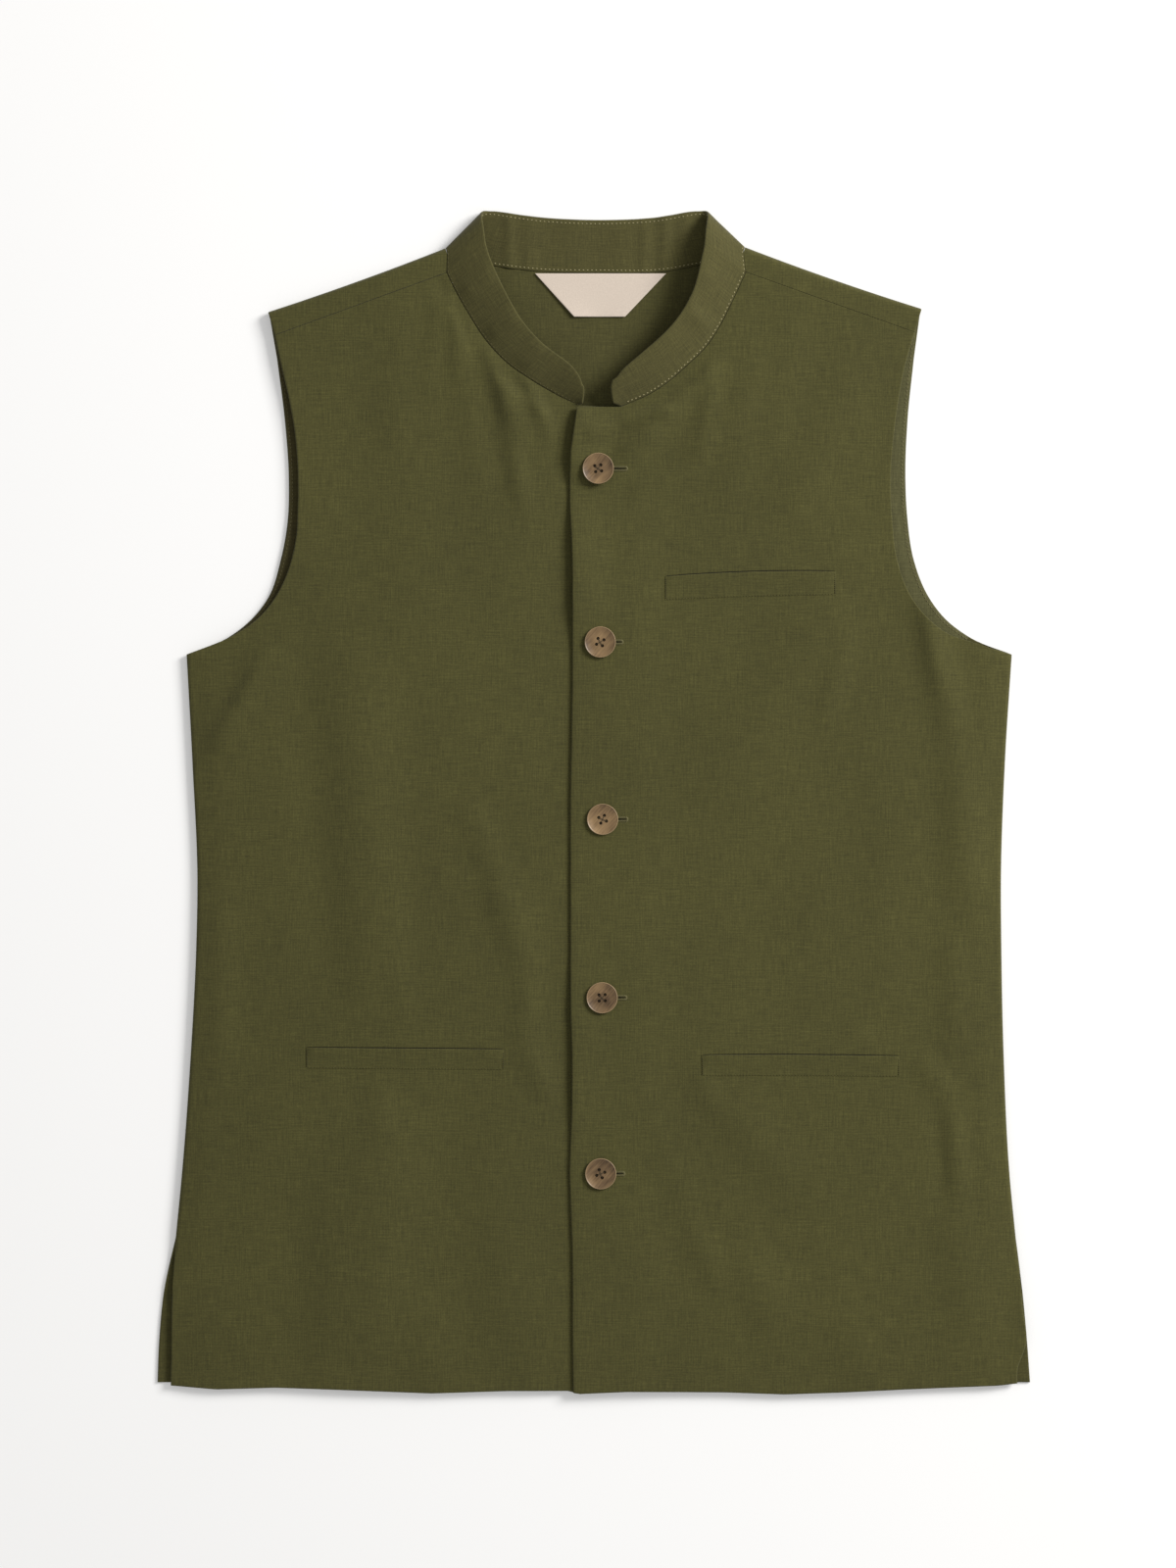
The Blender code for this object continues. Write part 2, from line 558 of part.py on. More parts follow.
def collar_front_ends(side):
    """Seam and free-edge points along a front's neckline and its shoulder strip."""
    table = neckline(side)
    centre = (1.6, 318.0)
    seam = table[:, :2] + plan_normals(table[:, :2], centre) * COLLAR_GAP
    seam_z = front_z(table[:, 0], table[:, 1], side == 1)
    seams = np.column_stack([seam, seam_z])
    edges = table[:, 2:]
    foot = np.array(NECK_BACK[-side][:2])
    points, _ = shoulder_lines(side)
    inward = (points[1] - points[0]) / np.linalg.norm(points[1] - points[0])
    strip = (points[3] + foot) / 2.0 + inward * COLLAR_GAP
    low_x, low_y, low_z, high_x, high_y, high_z, out_x, out_y = COLLAR_TURN[side]
    high = np.array([high_x, high_y, high_z])
    seams = np.vstack([seams, [*strip, SHOULDER_NECK_Z]])
    edges = np.vstack([edges, (edges[-1] + high) / 2.0 + np.array([0.0, 0.0, 0.8])])
    low = np.array([low_x, low_y, low_z])
    for angle in FOLD_ANGLES[::-1]:
        turn = shoulder_turn(side, foot, SHOULDER_NECK_Z, angle, 0.0)
        seams = np.vstack([seams, turn + np.array([*inward, 0.0]) * COLLAR_GAP])
        edges = np.vstack([edges, half_turn(low, high, (out_x, out_y), angle)])
    return seams, edges


def collar_grids():
    """The collar as one band round the neck: straight lines from its seam to its free edge.

    It stands on the fronts, turns over each shoulder and lies on the table behind the back
    neck. The inner face is the outer one moved in along its own normals.
    """
    left_seam, left_edge = collar_front_ends(0)
    right_seam, right_edge = collar_front_ends(1)
    back = smooth_path(NECK_BACK, BACK_NECK_COLUMNS)[1:-1]
    behind = np.column_stack([back[:, 0], back[:, 1] + COLLAR_GAP, np.zeros(len(back))])
    seam = np.vstack([left_seam, behind, right_seam[::-1]])
    edge = np.vstack([left_edge, back[:, 2:], right_edge[::-1]])
    across = np.linspace(0.0, 1.0, COLLAR_ACROSS + 1)[None, :, None]
    outer = seam[:, None] + (edge - seam)[:, None] * across
    bow = COLLAR_BOW * (edge - seam)[:, None, 2:] * across * (1.0 - across)
    outer[:, :, 2:] += bow
    normal = np.cross(np.gradient(outer, axis=0), np.gradient(outer, axis=1))
    normal /= np.linalg.norm(normal, axis=2)[:, :, None]
    middle = len(seam) // 2
    normal *= -np.sign(normal[middle, 0, 2])
    return outer, outer - normal * COLLAR_WALL


def make_collar():
    outer, inner = collar_grids()
    return add_object("collar", wall_mesh("collar", outer, inner), OLIVE)


# --- Trim ---------------------------------------------------------------------------------

def make_facing(side, name):
    """The armhole facing that shows inside the back, along the armhole's edge."""
    points, outward = shoulder_lines(side)
    table = [row[2 * side:2 * side + 2] for row in BACK_ARMHOLE[1:]]
    table.append(tuple(points[0] - outward * 6.0))
    edge = smooth_path(table, 14)
    inward = plan_normals(edge, (0.0, 190.0))
    steps = np.array([FACING_INSET, FACING_WIDTH / 2.0, FACING_WIDTH])
    plan = edge[:, None] + inward[:, None] * steps[None, :, None]
    low = np.full(plan.shape[:2], BACK_WALL + SEAM_GAP)
    inner = np.dstack([plan, low])
    outer = np.dstack([plan, low + TRIM_WALL])
    return add_object(name, wall_mesh(name, outer, inner), OLIVE_DARK)


def make_label():
    """The cloth label below the back neck: a trapezoid, wide at the collar."""
    top_left, top_right, low_right, low_left = np.array(LABEL_CORNERS)
    across = np.linspace(0.0, 1.0, 5)[:, None]
    plan = np.stack([low_left + (low_right - low_left) * across, top_left + (top_right - top_left) * across])
    low = np.full(plan.shape[:2], BACK_WALL + SEAM_GAP)
    mesh = wall_mesh("label", np.dstack([plan, low + TRIM_WALL]), np.dstack([plan, low]))
    return add_object("label", mesh, BEIGE, 0.6)


def surface_reader(thing):
    """A function that gives the height of a thing's top face at plan points, in millimetres."""
    mesh = thing.data
    tree = BVHTree.FromPolygons([vertex.co for vertex in mesh.vertices],
                                [tuple(face.vertices) for face in mesh.polygons])

    def height(x, y):
        hit = tree.ray_cast(Vector((x * MM, y * MM, 0.1)), Vector((0.0, 0.0, -1.0)))[0]
        return hit.z / MM

    return height


def make_welt(name, panel):
    """A pocket's welt: the panel's own points below it, moved out."""
    x, y, length, height, rise = WELTS[name]
    read = surface_reader(panel)
    across = np.linspace(-0.5, 0.5, 25)
    up = np.linspace(0.0, 1.0, 5)[:, None]
    plan_x = x + across * length + up * 0.0
    plan_y = y + across * rise + up * height
    seat = np.vectorize(read)(plan_x, plan_y) + SEAM_GAP
    inner = np.dstack([plan_x, plan_y, seat])
    outer = np.dstack([plan_x, plan_y, seat + WELT_WALL])
    return add_object(name, wall_mesh(name, outer, inner), OLIVE)


def button_mesh():
    """A dished button with a raised rim: its profile turned about Z, with four sewing holes."""
    angle = np.linspace(0.0, 2.0 * math.pi, ROUND_STEPS, endpoint=False)
    disc = bmesh.new()
    rings = [[disc.verts.new((radius * math.cos(a) * MM, radius * math.sin(a) * MM, z * MM)) for a in angle]
             for radius, z in BUTTON_PROFILE]
    for lower, upper in zip(rings, rings[1:]):
        for step in range(ROUND_STEPS):
            after = (step + 1) % ROUND_STEPS
            disc.faces.new([lower[step], lower[after], upper[after], upper[step]])
    disc.faces.new(rings[0][::-1])
    centre = disc.verts.new((0.0, 0.0, BUTTON_CENTRE_Z * MM))
    for step in range(ROUND_STEPS):
        disc.faces.new([rings[-1][step], rings[-1][(step + 1) % ROUND_STEPS], centre])
    mesh = bpy.data.meshes.new("button_blank")
    disc.to_mesh(mesh)
    disc.free()
    blank = bpy.data.objects.new("button_blank", mesh)
    bpy.context.scene.collection.objects.link(blank)
    cutter = hole_cutter()
    holes = blank.modifiers.new("holes", "BOOLEAN")
    holes.operation = "DIFFERENCE"
    holes.object = cutter
    finished = bpy.data.meshes.new_from_object(blank.evaluated_get(bpy.context.evaluated_depsgraph_get()))
    bpy.data.objects.remove(blank)
    bpy.data.objects.remove(cutter)
    finished.shade_smooth()
    finished.set_sharp_from_angle(angle=math.radians(35.0))
    return finished


def hole_cutter():
    """Four thin rods, one for each sewing hole, tall enough to pass through the button."""
    rods = bmesh.new()
    for x in (-HOLE_OFFSET, HOLE_OFFSET):
        for y in (-HOLE_OFFSET, HOLE_OFFSET):
            made = bmesh.ops.create_cone(rods, cap_ends=True, segments=10, radius1=HOLE_RADIUS * MM,
                                         radius2=HOLE_RADIUS * MM, depth=10.0 * MM)
            bmesh.ops.translate(rods, verts=made["verts"], vec=(x * MM, y * MM, 0.0))
    mesh = bpy.data.meshes.new("hole_cutter")
    rods.to_mesh(mesh)
    rods.free()
    cutter = bpy.data.objects.new("hole_cutter", mesh)
    cutter.hide_render = True
    cutter.display_type = "WIRE"
    bpy.context.scene.collection.objects.link(cutter)
    return cutter


def make_buttons(panel):
    """Five buttons down the centre front, each resting on the overlap and turned a little."""
    read = surface_reader(panel)
    mesh = button_mesh()
    rim = np.radians(np.arange(0.0, 360.0, 45.0))
    radius = BUTTON_DIAMETER / 2.0
    for number, (x, y, turn) in enumerate(BUTTONS, start=1):
        seat = max(read(x + radius * math.cos(a), y + radius * math.sin(a)) for a in rim)
        button = add_object("button_%d" % number, mesh.copy(), HORN, 0.35)
        button.location = Vector((x, y, seat + SEAM_GAP)) * MM
        button.rotation_euler.z = math.radians(turn)


def main():
    for thing in list(bpy.data.objects):
        bpy.data.objects.remove(thing)
    make_back()
    right_front = make_front(0, "front_right")
    left_front = make_front(1, "front_left")
    make_collar()
    make_facing(1, "facing_armhole_left")
    make_facing(0, "facing_armhole_right")
    make_label()
    make_welt("welt_chest", left_front)
    make_welt("welt_lower_left", left_front)
    make_welt("welt_lower_right", right_front)
    make_buttons(left_front)


main()
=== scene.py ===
# %% [markdown]
# # A nehru jacket laid flat
#
# The packed solids already have the jacket's true form: a back that folds over both
# shoulders, two fronts that close left over right, and a band collar. This lesson gives each
# piece its finish. Every cloth piece is a closed sheet worked out with numpy on a grid of two
# parameters, fine enough for soft folds, rounded edges and real stitches. Lengths are in
# millimetres, because that is how a cutter works, and they become metres when a mesh is made.

# %% Frame and units
import math

import bpy
import numpy as np
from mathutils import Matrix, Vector


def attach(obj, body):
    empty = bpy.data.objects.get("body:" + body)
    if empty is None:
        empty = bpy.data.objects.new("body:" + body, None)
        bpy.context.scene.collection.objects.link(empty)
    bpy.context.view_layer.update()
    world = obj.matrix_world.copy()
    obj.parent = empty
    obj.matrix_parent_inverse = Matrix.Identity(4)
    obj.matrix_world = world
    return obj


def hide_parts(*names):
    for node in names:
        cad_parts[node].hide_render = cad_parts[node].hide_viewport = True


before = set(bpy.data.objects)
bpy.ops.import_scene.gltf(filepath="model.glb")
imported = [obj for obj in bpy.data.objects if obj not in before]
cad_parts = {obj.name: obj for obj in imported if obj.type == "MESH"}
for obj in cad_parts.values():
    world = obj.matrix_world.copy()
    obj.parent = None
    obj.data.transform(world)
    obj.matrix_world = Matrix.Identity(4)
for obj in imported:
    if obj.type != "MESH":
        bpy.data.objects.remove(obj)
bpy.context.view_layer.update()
MM = 0.001
print("frame nodes:", sorted(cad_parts))

# %% [markdown]
# ## The pattern pieces
#
# A cutter draws outlines first. These tables hold the same few points as the solids do: the
# side seam, the vents, the armholes, the shoulder folds and the neckline, each with named
# columns. Everything else follows from them, so one changed number moves every piece that
# meets there.

# %% Outline tables, in millimetres
FRONT_HEM = [
    # x, y
    (-250, -345.4), (-223, -347.6), (-188, -346.6), (-154, -347.7), (-96, -350), (-50, -348.6),
    (-14, -348.6), (-10, -350.3), (20, -349), (78, -349.4), (113, -350.6), (148, -349.4),
    (183, -347.7), (240, -345.4), (250, -344.2),
]
SIDE_SEAM = [
    # y, left_x, right_x
    (-257.8, -247.1, 249.4), (-221.8, -243.6, 245.9), (-152.2, -238.4, 242.4),
    (-82.6, -234.9, 240.9), (-47.8, -234.3, 240.7), (21.8, -237.2, 243), (86.7, -240.7, 247.1),
]
BACK_VENT = [
    # y, left_x, right_x
    (-343.8, -258.1, 258.1), (-320, -257.2, 256.4), (-287, -253.8, 253.3), (-257.8, -247.1, 249.4),
]
FRONT_VENT = [
    # y, left_x, right_x
    (-345, -250, 250.3), (-335, -249.9, 250.8), (-329, -249.7, 252.9), (-322, -249.6, 255.3),
    (-300, -249.4, 253.5), (-257.8, -247.1, 249.4),
]
BACK_ARMHOLE = [
    # left_x, left_y, right_x, right_y
    (-240.7, 86.7, 247.1, 86.7), (-215.8, 97.1, 222.1, 97.1), (-201.3, 108.7, 207.1, 108.7),
    (-192.6, 120.3, 198.4, 120.3), (-185, 143.5, 189.1, 143.5), (-181, 166.8, 185.6, 166.8),
    (-180.4, 190, 184.4, 190), (-182.7, 224.7, 185.6, 224.7), (-187.4, 262, 189.4, 262),
]
FRONT_ARMHOLE_LOW = [
    # left_x, left_y, right_x, right_y
    (-240.7, 86.7, 247.1, 86.7), (-212.3, 98.3, 222.7, 94.2), (-198.9, 107.6, 209.4, 98.9),
    (-188.5, 119.8, 196, 109.3), (-181.5, 133.7, 185.6, 124.4), (-176.3, 152.8, 179.8, 140.6),
    (-174.6, 180, 175.8, 172),
]
FRONT_ARMHOLE_HIGH = [
    # left_x, left_y, right_x, right_y
    (-174.6, 180, 175.8, 172), (-175, 199, 175.5, 192), (-176.8, 219, 177, 213),
    (-179.8, 236.3, 179.8, 235.2), (-185, 259, 184.4, 259), (-188.5, 275.2, 189.7, 276.9),
]
OVERLAP_EDGE = [
    # y, x
    (-350.3, -12.1), (-310, -12.6), (-285, -12.6), (-260, -12.9), (-240, -13.7), (-219, -14.4),
    (-200, -13.7), (-180, -12.9), (-150, -12.9), (-120, -13.8), (0, -13.9), (30, -13.3),
    (70, -12.7), (130, -12.6), (150, -12.9), (175, -14.2), (190, -14.3), (207, -13.7),
    (233.4, -9.9),
]
SHOULDER = [
    # fold_arm_x, fold_arm_y, fold_neck_x, fold_neck_y, seam_arm_x, seam_arm_y, seam_neck_x, seam_neck_y
    (-192.6, 289.1, -87, 327.4, -188.5, 275.2, -87, 312),
    (193.9, 291, 88.7, 327.4, 189.7, 276.9, 89.8, 312.4),
]
NECK_LEFT = [
    # seam_x, seam_y, edge_x, edge_y, edge_z
    (-8.5, 233.9, -7.2, 234.9, 7.6), (-11.6, 235.2, -5.7, 240.1, 9.2),
    (-15.1, 236.7, -6, 245.5, 10.2), (-19.1, 238.5, -7.7, 249.9, 11),
    (-25.4, 241.9, -12.5, 256.3, 11.4), (-39.1, 250, -24.9, 265.5, 12),
    (-51.6, 259, -33.2, 272.6, 12.3), (-64.4, 272.9, -44, 285.6, 12.7),
    (-74.2, 288, -53.5, 302.9, 13), (-81.8, 301.3, -59.9, 316.8, 13),
    (-87, 312, -64.2, 328.4, 13.2),
]
NECK_RIGHT = [
    # seam_x, seam_y, edge_x, edge_y, edge_z
    (15.6, 232.9, 11.7, 234.6, 9.8), (18.2, 233.9, 9.9, 242.8, 13.6),
    (21.2, 235.1, 11.1, 247.6, 15.2), (24.9, 236.6, 14.7, 252.2, 16.2),
    (30.2, 238.9, 21.2, 257.5, 17), (42.7, 246.6, 31.3, 266, 17.6), (55.1, 257.3, 41.7, 275.2, 18),
    (66.7, 268.8, 50.2, 285.1, 18), (74.2, 280.1, 56.8, 296, 18), (80.6, 292.6, 61, 307.4, 18),
    (85.3, 302.6, 63.5, 318.9, 17.5), (89.8, 312.4, 65.8, 329.4, 16.5),
]
NECK_BACK = [
    # seam_x, seam_y, edge_x, edge_y, edge_z
    (-86.7, 323.7, -64, 348.9, 0.4), (-73.5, 319.9, -57.6, 348.9, 0.8),
    (-60.9, 317, -50.6, 347.8, 1), (-34.2, 313.5, -30.6, 345.2, 1), (1.6, 312.6, 0.6, 343.7, 1),
    (43.5, 313.5, 38.6, 345.4, 1), (62.1, 317, 52.4, 347.9, 1), (75.4, 320.2, 59, 348.9, 0.8),
    (88.4, 324.3, 65.4, 348.9, 0.4),
]
COLLAR_TURN = [
    # low_x, low_y, low_z, high_x, high_y, high_z, out_x, out_y
    (-64, 348.9, 0.4, -65.1, 342.6, 12.5, -68, 349.9),
    (65.4, 348.9, 0.4, 66.3, 342.6, 12.5, 69.2, 349.9),
]
SIDES = (0, 1)
CLOSING_TOP_Y = (232.0, 232.9)
UNDERLAP_X = 20.0
print("outline rows:", len(SIDE_SEAM) + len(BACK_ARMHOLE) + len(NECK_LEFT) + len(NECK_RIGHT))

# %% [markdown]
# ## Smooth curves through few points
#
# A paper pattern is drawn with a flexible curve. Here each span between two table rows is a
# Hermite curve, whose slopes come from the neighbouring rows. Blender's own curves could do
# this too, but a function gives the points at any spacing that a grid asks for.

# %% Curves


def ramp(t):
    """An even step from 0 to 1 with flat ends."""
    t = np.clip(t, 0.0, 1.0)
    return t * t * (3.0 - 2.0 * t)


def between(value, start, stop):
    """An even step from 0 at start to 1 at stop. stop may be the smaller one."""
    return ramp((value - start) / (stop - start))


def smooth_path(table, stations):
    """A smooth curve through the table's rows, read at stations from 0 to 1 along its length.

    Each span is a Hermite curve whose end slopes come from the neighbouring rows. Distance is
    measured on the first two columns, and the other columns follow them.
    """
    if np.isscalar(stations):
        stations = np.linspace(0.0, 1.0, stations + 1)
    table = np.array(table, dtype=float)
    gap = np.linalg.norm(np.diff(table[:, :2], axis=0), axis=1)
    along = np.concatenate([[0.0], np.cumsum(gap)])
    slope = np.gradient(table, along, axis=0)
    fine = np.linspace(0.0, along[-1], 40 * len(gap) + 1)
    span = np.clip(np.searchsorted(along, fine, side="right") - 1, 0, len(gap) - 1)
    width = gap[span][:, None]
    t = (fine[:, None] - along[span][:, None]) / width
    curve = (table[span] * (1.0 + 2.0 * t) * (1.0 - t) ** 2
             + slope[span] * width * t * (1.0 - t) ** 2
             + table[span + 1] * t ** 2 * (3.0 - 2.0 * t)
             + slope[span + 1] * width * t ** 2 * (t - 1.0))
    return read_path(curve, stations)


def path_length(path, columns=2):
    """Distance from a path's start to each of its points."""
    steps = np.linalg.norm(np.diff(path[:, :columns], axis=0), axis=1)
    return np.concatenate([[0.0], np.cumsum(steps)])


def read_path(path, stations, columns=2):
    """A path read again at stations from 0 to 1 along its length."""
    length = path_length(path, columns)
    wanted = np.asarray(stations) * length[-1]
    return np.column_stack([np.interp(wanted, length, column) for column in path.T])


def join_stretches(stretches):
    """One path from several that start where the last one ended."""
    return np.vstack([stretches[0]] + [stretch[1:] for stretch in stretches[1:]])


def side_stretch(table, side, stations):
    """A stretch of one side's outline as x, y. side is 0 for -X and 1 for +X."""
    return smooth_path([(row[1 + side], row[0]) for row in table], stations)


def armhole_stretch(table, side, stations):
    """A stretch of one armhole's edge as x, y."""
    return smooth_path([row[2 * side:2 * side + 2] for row in table], stations)


print("back neck length:", round(path_length(smooth_path(NECK_BACK, 40))[-1], 1), "mm")

# %% [markdown]
# ## How high the cloth lies
#
# Nothing on a table is quite flat: the overlap is one layer higher, the neck lifts towards the
# collar, and handling leaves soft folds. One function gives the height of a front at any place,
# so each thing that is laid or sewn on the front can ask it where the cloth is. The folds are
# rows of a table, each a bell-shaped trough or ridge along a line, and a few long waves keep the
# spaces between them from looking ironed. The front that lies underneath has no folds under the
# overlap but keeps the same long waves, so the two layers follow each other without touching.

# %% Levels, and where they change
FRONT_WALL = 1.6
BODY_Z = 5.6
SHOULDER_NECK_Z = 6.5
NECK_RISE = 0.9
UNDERLAP_DROP = 0.8
OVERLAP_RISE = 0.92
EDGE_LIFT = 2.6
HEM_DROP = 0.6
VENT_DROP = 0.9
FOLD_LIMIT = 3.0
FOLD_MARGIN = 16.0
CREASE_MARGIN = 9.0
NECK_CENTRE = (1.6, 318.0)
NECK_RADIUS = 85.0
SHOULDER_TOP_Y = 345.3
SHOULDER_SLOPE = 0.366
# where each change of height starts and stops, in x, in y or in distance
SHOULDER_FADE = (0.0, 50.0)
NECK_FADE = (0.0, 36.0)
OVERLAP_FADE = (22.0, 50.0)
OPENING_RISE = (14.0, -13.0)
UNDER_NECK_RISE = (-15.0, -60.0)
UNDERLAP_FALL = (-45.0, -15.0)
UNDER_FOLD_FADE = (-34.0, -16.0)
HEM_RISE = (-350.0, -324.0)
VENT_FALL = (-248.0, -278.0)
VENT_SIDE = (250.0, 230.0)
print("cloth wall:", FRONT_WALL, "mm, fronts' level:", BODY_Z, "mm")

# %% Folds, creases and waves
FOLDS = [
    # x0, y0, x1, y1, half_width, height
    (-78.7, 318, -80, 246, 7, 1.6), (-61, 286, -37, 208, 7, 2), (-44, 262, -24, 208, 5.5, 1.4),
    (-183, 92, -222, 27, 11, 2.4), (-140, 100, -134, -137, 19, 3.2),
    (-126, -175, -137, -335, 21, 3.2), (-75, 0, -56, -46, 9, 1.4), (-58, -36, -39, -104, 10, 1.9),
    (-39, -98, -41, -146, 8, 1.4), (-43, -142, -18, -182, 8.5, 1.9), (28, 208, 70, 262, 6.5, 2),
    (46, 192, 96, 240, 9, 1.4), (196, 122, 213, 35, 9, 2.6), (213, 35, 219, -60, 11, 1.9),
    (190, -150, 211, -176, 7, 1.2), (211, -176, 216, -238, 7, 1.7), (76, -176, 119, -228, 14, 1.7),
    (82, -262, 110, -312, 14, 1.5), (148, 126, 63, -5, 22, 1.8), (-221, -50, -219, -168, 9, 0.9),
    (120, 20, 140, -130, 26, 1), (-112, 210, -104, 60, 24, 1.2),
]
EDGE_OPENINGS = [
    # middle_y, half_length, share of the lift where the overlap's edge stands open
    (214, 21, 1.3), (136, 34, 0.95), (-146, 44, 0.5),
]
CREASES = [
    # x0, y0, x1, y1, half_width, height
    (-64, 272, -50, 224, 5, 1.3), (-54, 250, -42, 172, 6.5, 1.9), (-64, 292, -56, 264, 7, -1.3),
    (-43, 254, -22, 214, 4.5, 1.6), (-93, 326, -89, 296, 5, -1.3), (-90, 306, -99, 236, 6, 0.8),
    (-76, 256, -65, 170, 9, 0.8), (-112, 300, -120, 200, 12, 0.8), (-6, 216, 15, 222, 4.5, 2.2),
    (12, 222, 48, 233, 4.5, 2.6), (14, 204, 38, 224, 5.5, 1.6), (20, 182, 52, 196, 6, 1),
    (72, 262, 62, 200, 6.5, 1.3), (156, 262, 112, 160, 16, 1.4), (100, 280, 78, 170, 10, 0.7),
    (120, 290, 104, 190, 12, 0.7), (152, 106, 134, 42, 7, 1), (-192, 90, -228, 26, 5, 1.6),
    (-174, 92, -164, -14, 15, -0.8), (-162, -6, -150, -128, 14, -0.8),
    (-138, 60, -130, -130, 17, 0.5), (-157, -218, -160, -342, 13, 1.3),
    (-128, -180, -136, -330, 38, 1.6), (-124, -166, -127, -200, 8, 0.9),
    (-108, -290, -90, -345, 14, 0.9), (-64, -50, -52, -66, 9, 0.8), (-122, -40, -110, -150, 9, 0.6),
    (216, 44, 221, -72, 12, 0.6), (212, -76, 214, -152, 9, 1.1),
    (202.5, -182, 207, -238, 4.5, -0.8), (214, -236, 222, -322, 14, 1.4),
    (60, -156, 74, -186, 7, 0.9), (61, -254, 76, -290, 8, 1), (168, -20, 178, -135, 12, 0.4),
    (34, -180, 66, -280, 10, 0.6), (-62, -200, -50, -320, 16, 1.1), (146, -300, 160, -345, 12, 0.8),
    (150, 60, 190, -60, 20, 0.6), (192, 128, 206, 60, 5.5, 1.2),
]
WAVES = [
    # length_x, length_y, phase, height
    (150, 420, 0.4, 0.10), (-95, 260, 1.9, 0.07), (64, -310, 3.1, 0.05), (310, -120, 0.8, 0.05),
]
print("folds:", len(FOLDS), "smaller creases:", len(CREASES), "waves:", len(WAVES))

# %% Height of the cloth


def shoulder_z(x):
    """Height of the shoulder strip: lowest at the arm, highest at the neck."""
    arm_x, neck_x = 190.0, 88.0
    share = np.clip((arm_x - np.abs(x)) / (arm_x - neck_x), 0.0, 1.0)
    return BODY_Z + (SHOULDER_NECK_Z - BODY_Z) * share


def bells(x, y, table):
    """Sum of bell-shaped troughs and ridges, each by its distance to a line."""
    relief = np.zeros_like(x)
    for x0, y0, x1, y1, half_width, height in table:
        run = np.array([x1 - x0, y1 - y0])
        t = np.clip(((x - x0) * run[0] + (y - y0) * run[1]) / (run @ run), 0.0, 1.0)
        away = np.hypot(x - x0 - t * run[0], y - y0 - t * run[1])
        taper = 1.0 - 0.85 * np.abs(2.0 * t - 1.0) ** 3
        relief += height * taper * np.exp(-(away / half_width) ** 2)
    return relief


def long_waves(x, y):
    """A few crossing sine waves: the slack that any cloth keeps."""
    turn = 2.0 * math.pi
    return sum(height * np.sin(turn * (x / length_x + y / length_y) + phase)
               for length_x, length_y, phase, height in WAVES)


def front_z(x, y, over):
    """Outer height of a front. over is True for the wearer's left front, which lies on top."""
    below_shoulder = SHOULDER_TOP_Y - SHOULDER_SLOPE * np.abs(x) - y
    from_neck = np.hypot(x - NECK_CENTRE[0], y - NECK_CENTRE[1]) - NECK_RADIUS
    rise = (shoulder_z(x) - BODY_Z) * (1.0 - between(below_shoulder, *SHOULDER_FADE))
    neck = NECK_RISE * (1.0 - between(from_neck, *NECK_FADE))
    if over:
        closing = OVERLAP_RISE * (1.0 - between(x, *OVERLAP_FADE))
        rise = np.maximum(rise, np.maximum(neck, closing))
        high = sum(share * np.exp(-((y - middle) / reach) ** 4)
                   for middle, reach, share in EDGE_OPENINGS)
        edge_lift = EDGE_LIFT * between(x, *OPENING_RISE) * high
    else:
        rise = np.maximum(rise, neck * between(x, *UNDER_NECK_RISE))
        edge_lift = -UNDERLAP_DROP * between(x, *UNDERLAP_FALL)
    fade = ramp(below_shoulder / FOLD_MARGIN) * ramp(from_neck / CREASE_MARGIN)
    near_neck = ramp(below_shoulder / CREASE_MARGIN)
    slack = fade
    if not over:
        under = 1.0 - between(x, *UNDER_FOLD_FADE)
        fade, near_neck = fade * under, near_neck * under
    hem = HEM_DROP * (1.0 - between(y, *HEM_RISE))
    vent = VENT_DROP * between(y, *VENT_FALL) * (1.0 - between(np.abs(x), *VENT_SIDE))
    folds = fade * FOLD_LIMIT * np.tanh(bells(x, y, FOLDS) / FOLD_LIMIT)
    creases = bells(x, y, CREASES) * np.maximum(fade, near_neck)
    waves = slack * long_waves(x, y)
    return BODY_Z + rise + edge_lift + folds + waves + creases - hem - vent


sample = front_z(np.linspace(-230.0, 10.0, 200), np.zeros(200), False)
print("right front lies between", sample.min().round(2), "and", sample.max().round(2), "mm")

# %% [markdown]
# ## From two grids to one closed sheet
#
# Real cloth has two faces and a turned edge. Each piece is an outer grid and an inner grid of
# the same size, joined round the rim. Near the rim both faces draw together on a quarter
# circle, which is what a folded edge looks like. A Solidify modifier could add the wall, but
# here the inner face is worked out, so that neighbours never run into each other at the curled
# side seams and over the shoulder folds.

# %% Rounded edges
GRID_STEP = 2.8


def edge_rounding(distance, wall):
    """How far each face draws in near an edge: a quarter circle as wide as half the wall."""
    radius = wall / 2.0
    t = np.clip(distance / radius, 0.0, 1.0)
    return 0.94 * radius * (1.0 - np.sqrt(1.0 - (1.0 - t) ** 2))


def edge_stations(length, step, wall, start=True, end=True):
    """Places from 0 to 1 along a length: even steps, and close ones at the rounded ends."""
    count = max(2, int(round(length / step)))
    even = np.linspace(0.0, 1.0, count + 1)
    close = np.array([0.06, 0.22, 0.5, 1.0]) * wall / 2.0 / length
    middle = even[(even > close[-1] * 1.6) & (even < 1.0 - close[-1] * 1.6)]
    parts = [[0.0], close if start else [], middle, (1.0 - close[::-1]) if end else [], [1.0]]
    return np.concatenate(parts)


print("places across a 16 mm strip:", len(edge_stations(16.0, GRID_STEP, FRONT_WALL)))

# %% Meshes and sheets


def put_in_scene(name, data):
    """A new object for a mesh, light or camera, linked into the scene."""
    thing = bpy.data.objects.new(name, data)
    bpy.context.scene.collection.objects.link(thing)
    return thing


def mesh_from(name, points, faces):
    """A mesh from points in millimetres and faces that number them."""
    mesh = bpy.data.meshes.new(name)
    mesh.from_pydata((np.asarray(points) * MM).tolist(), [], faces)
    return mesh


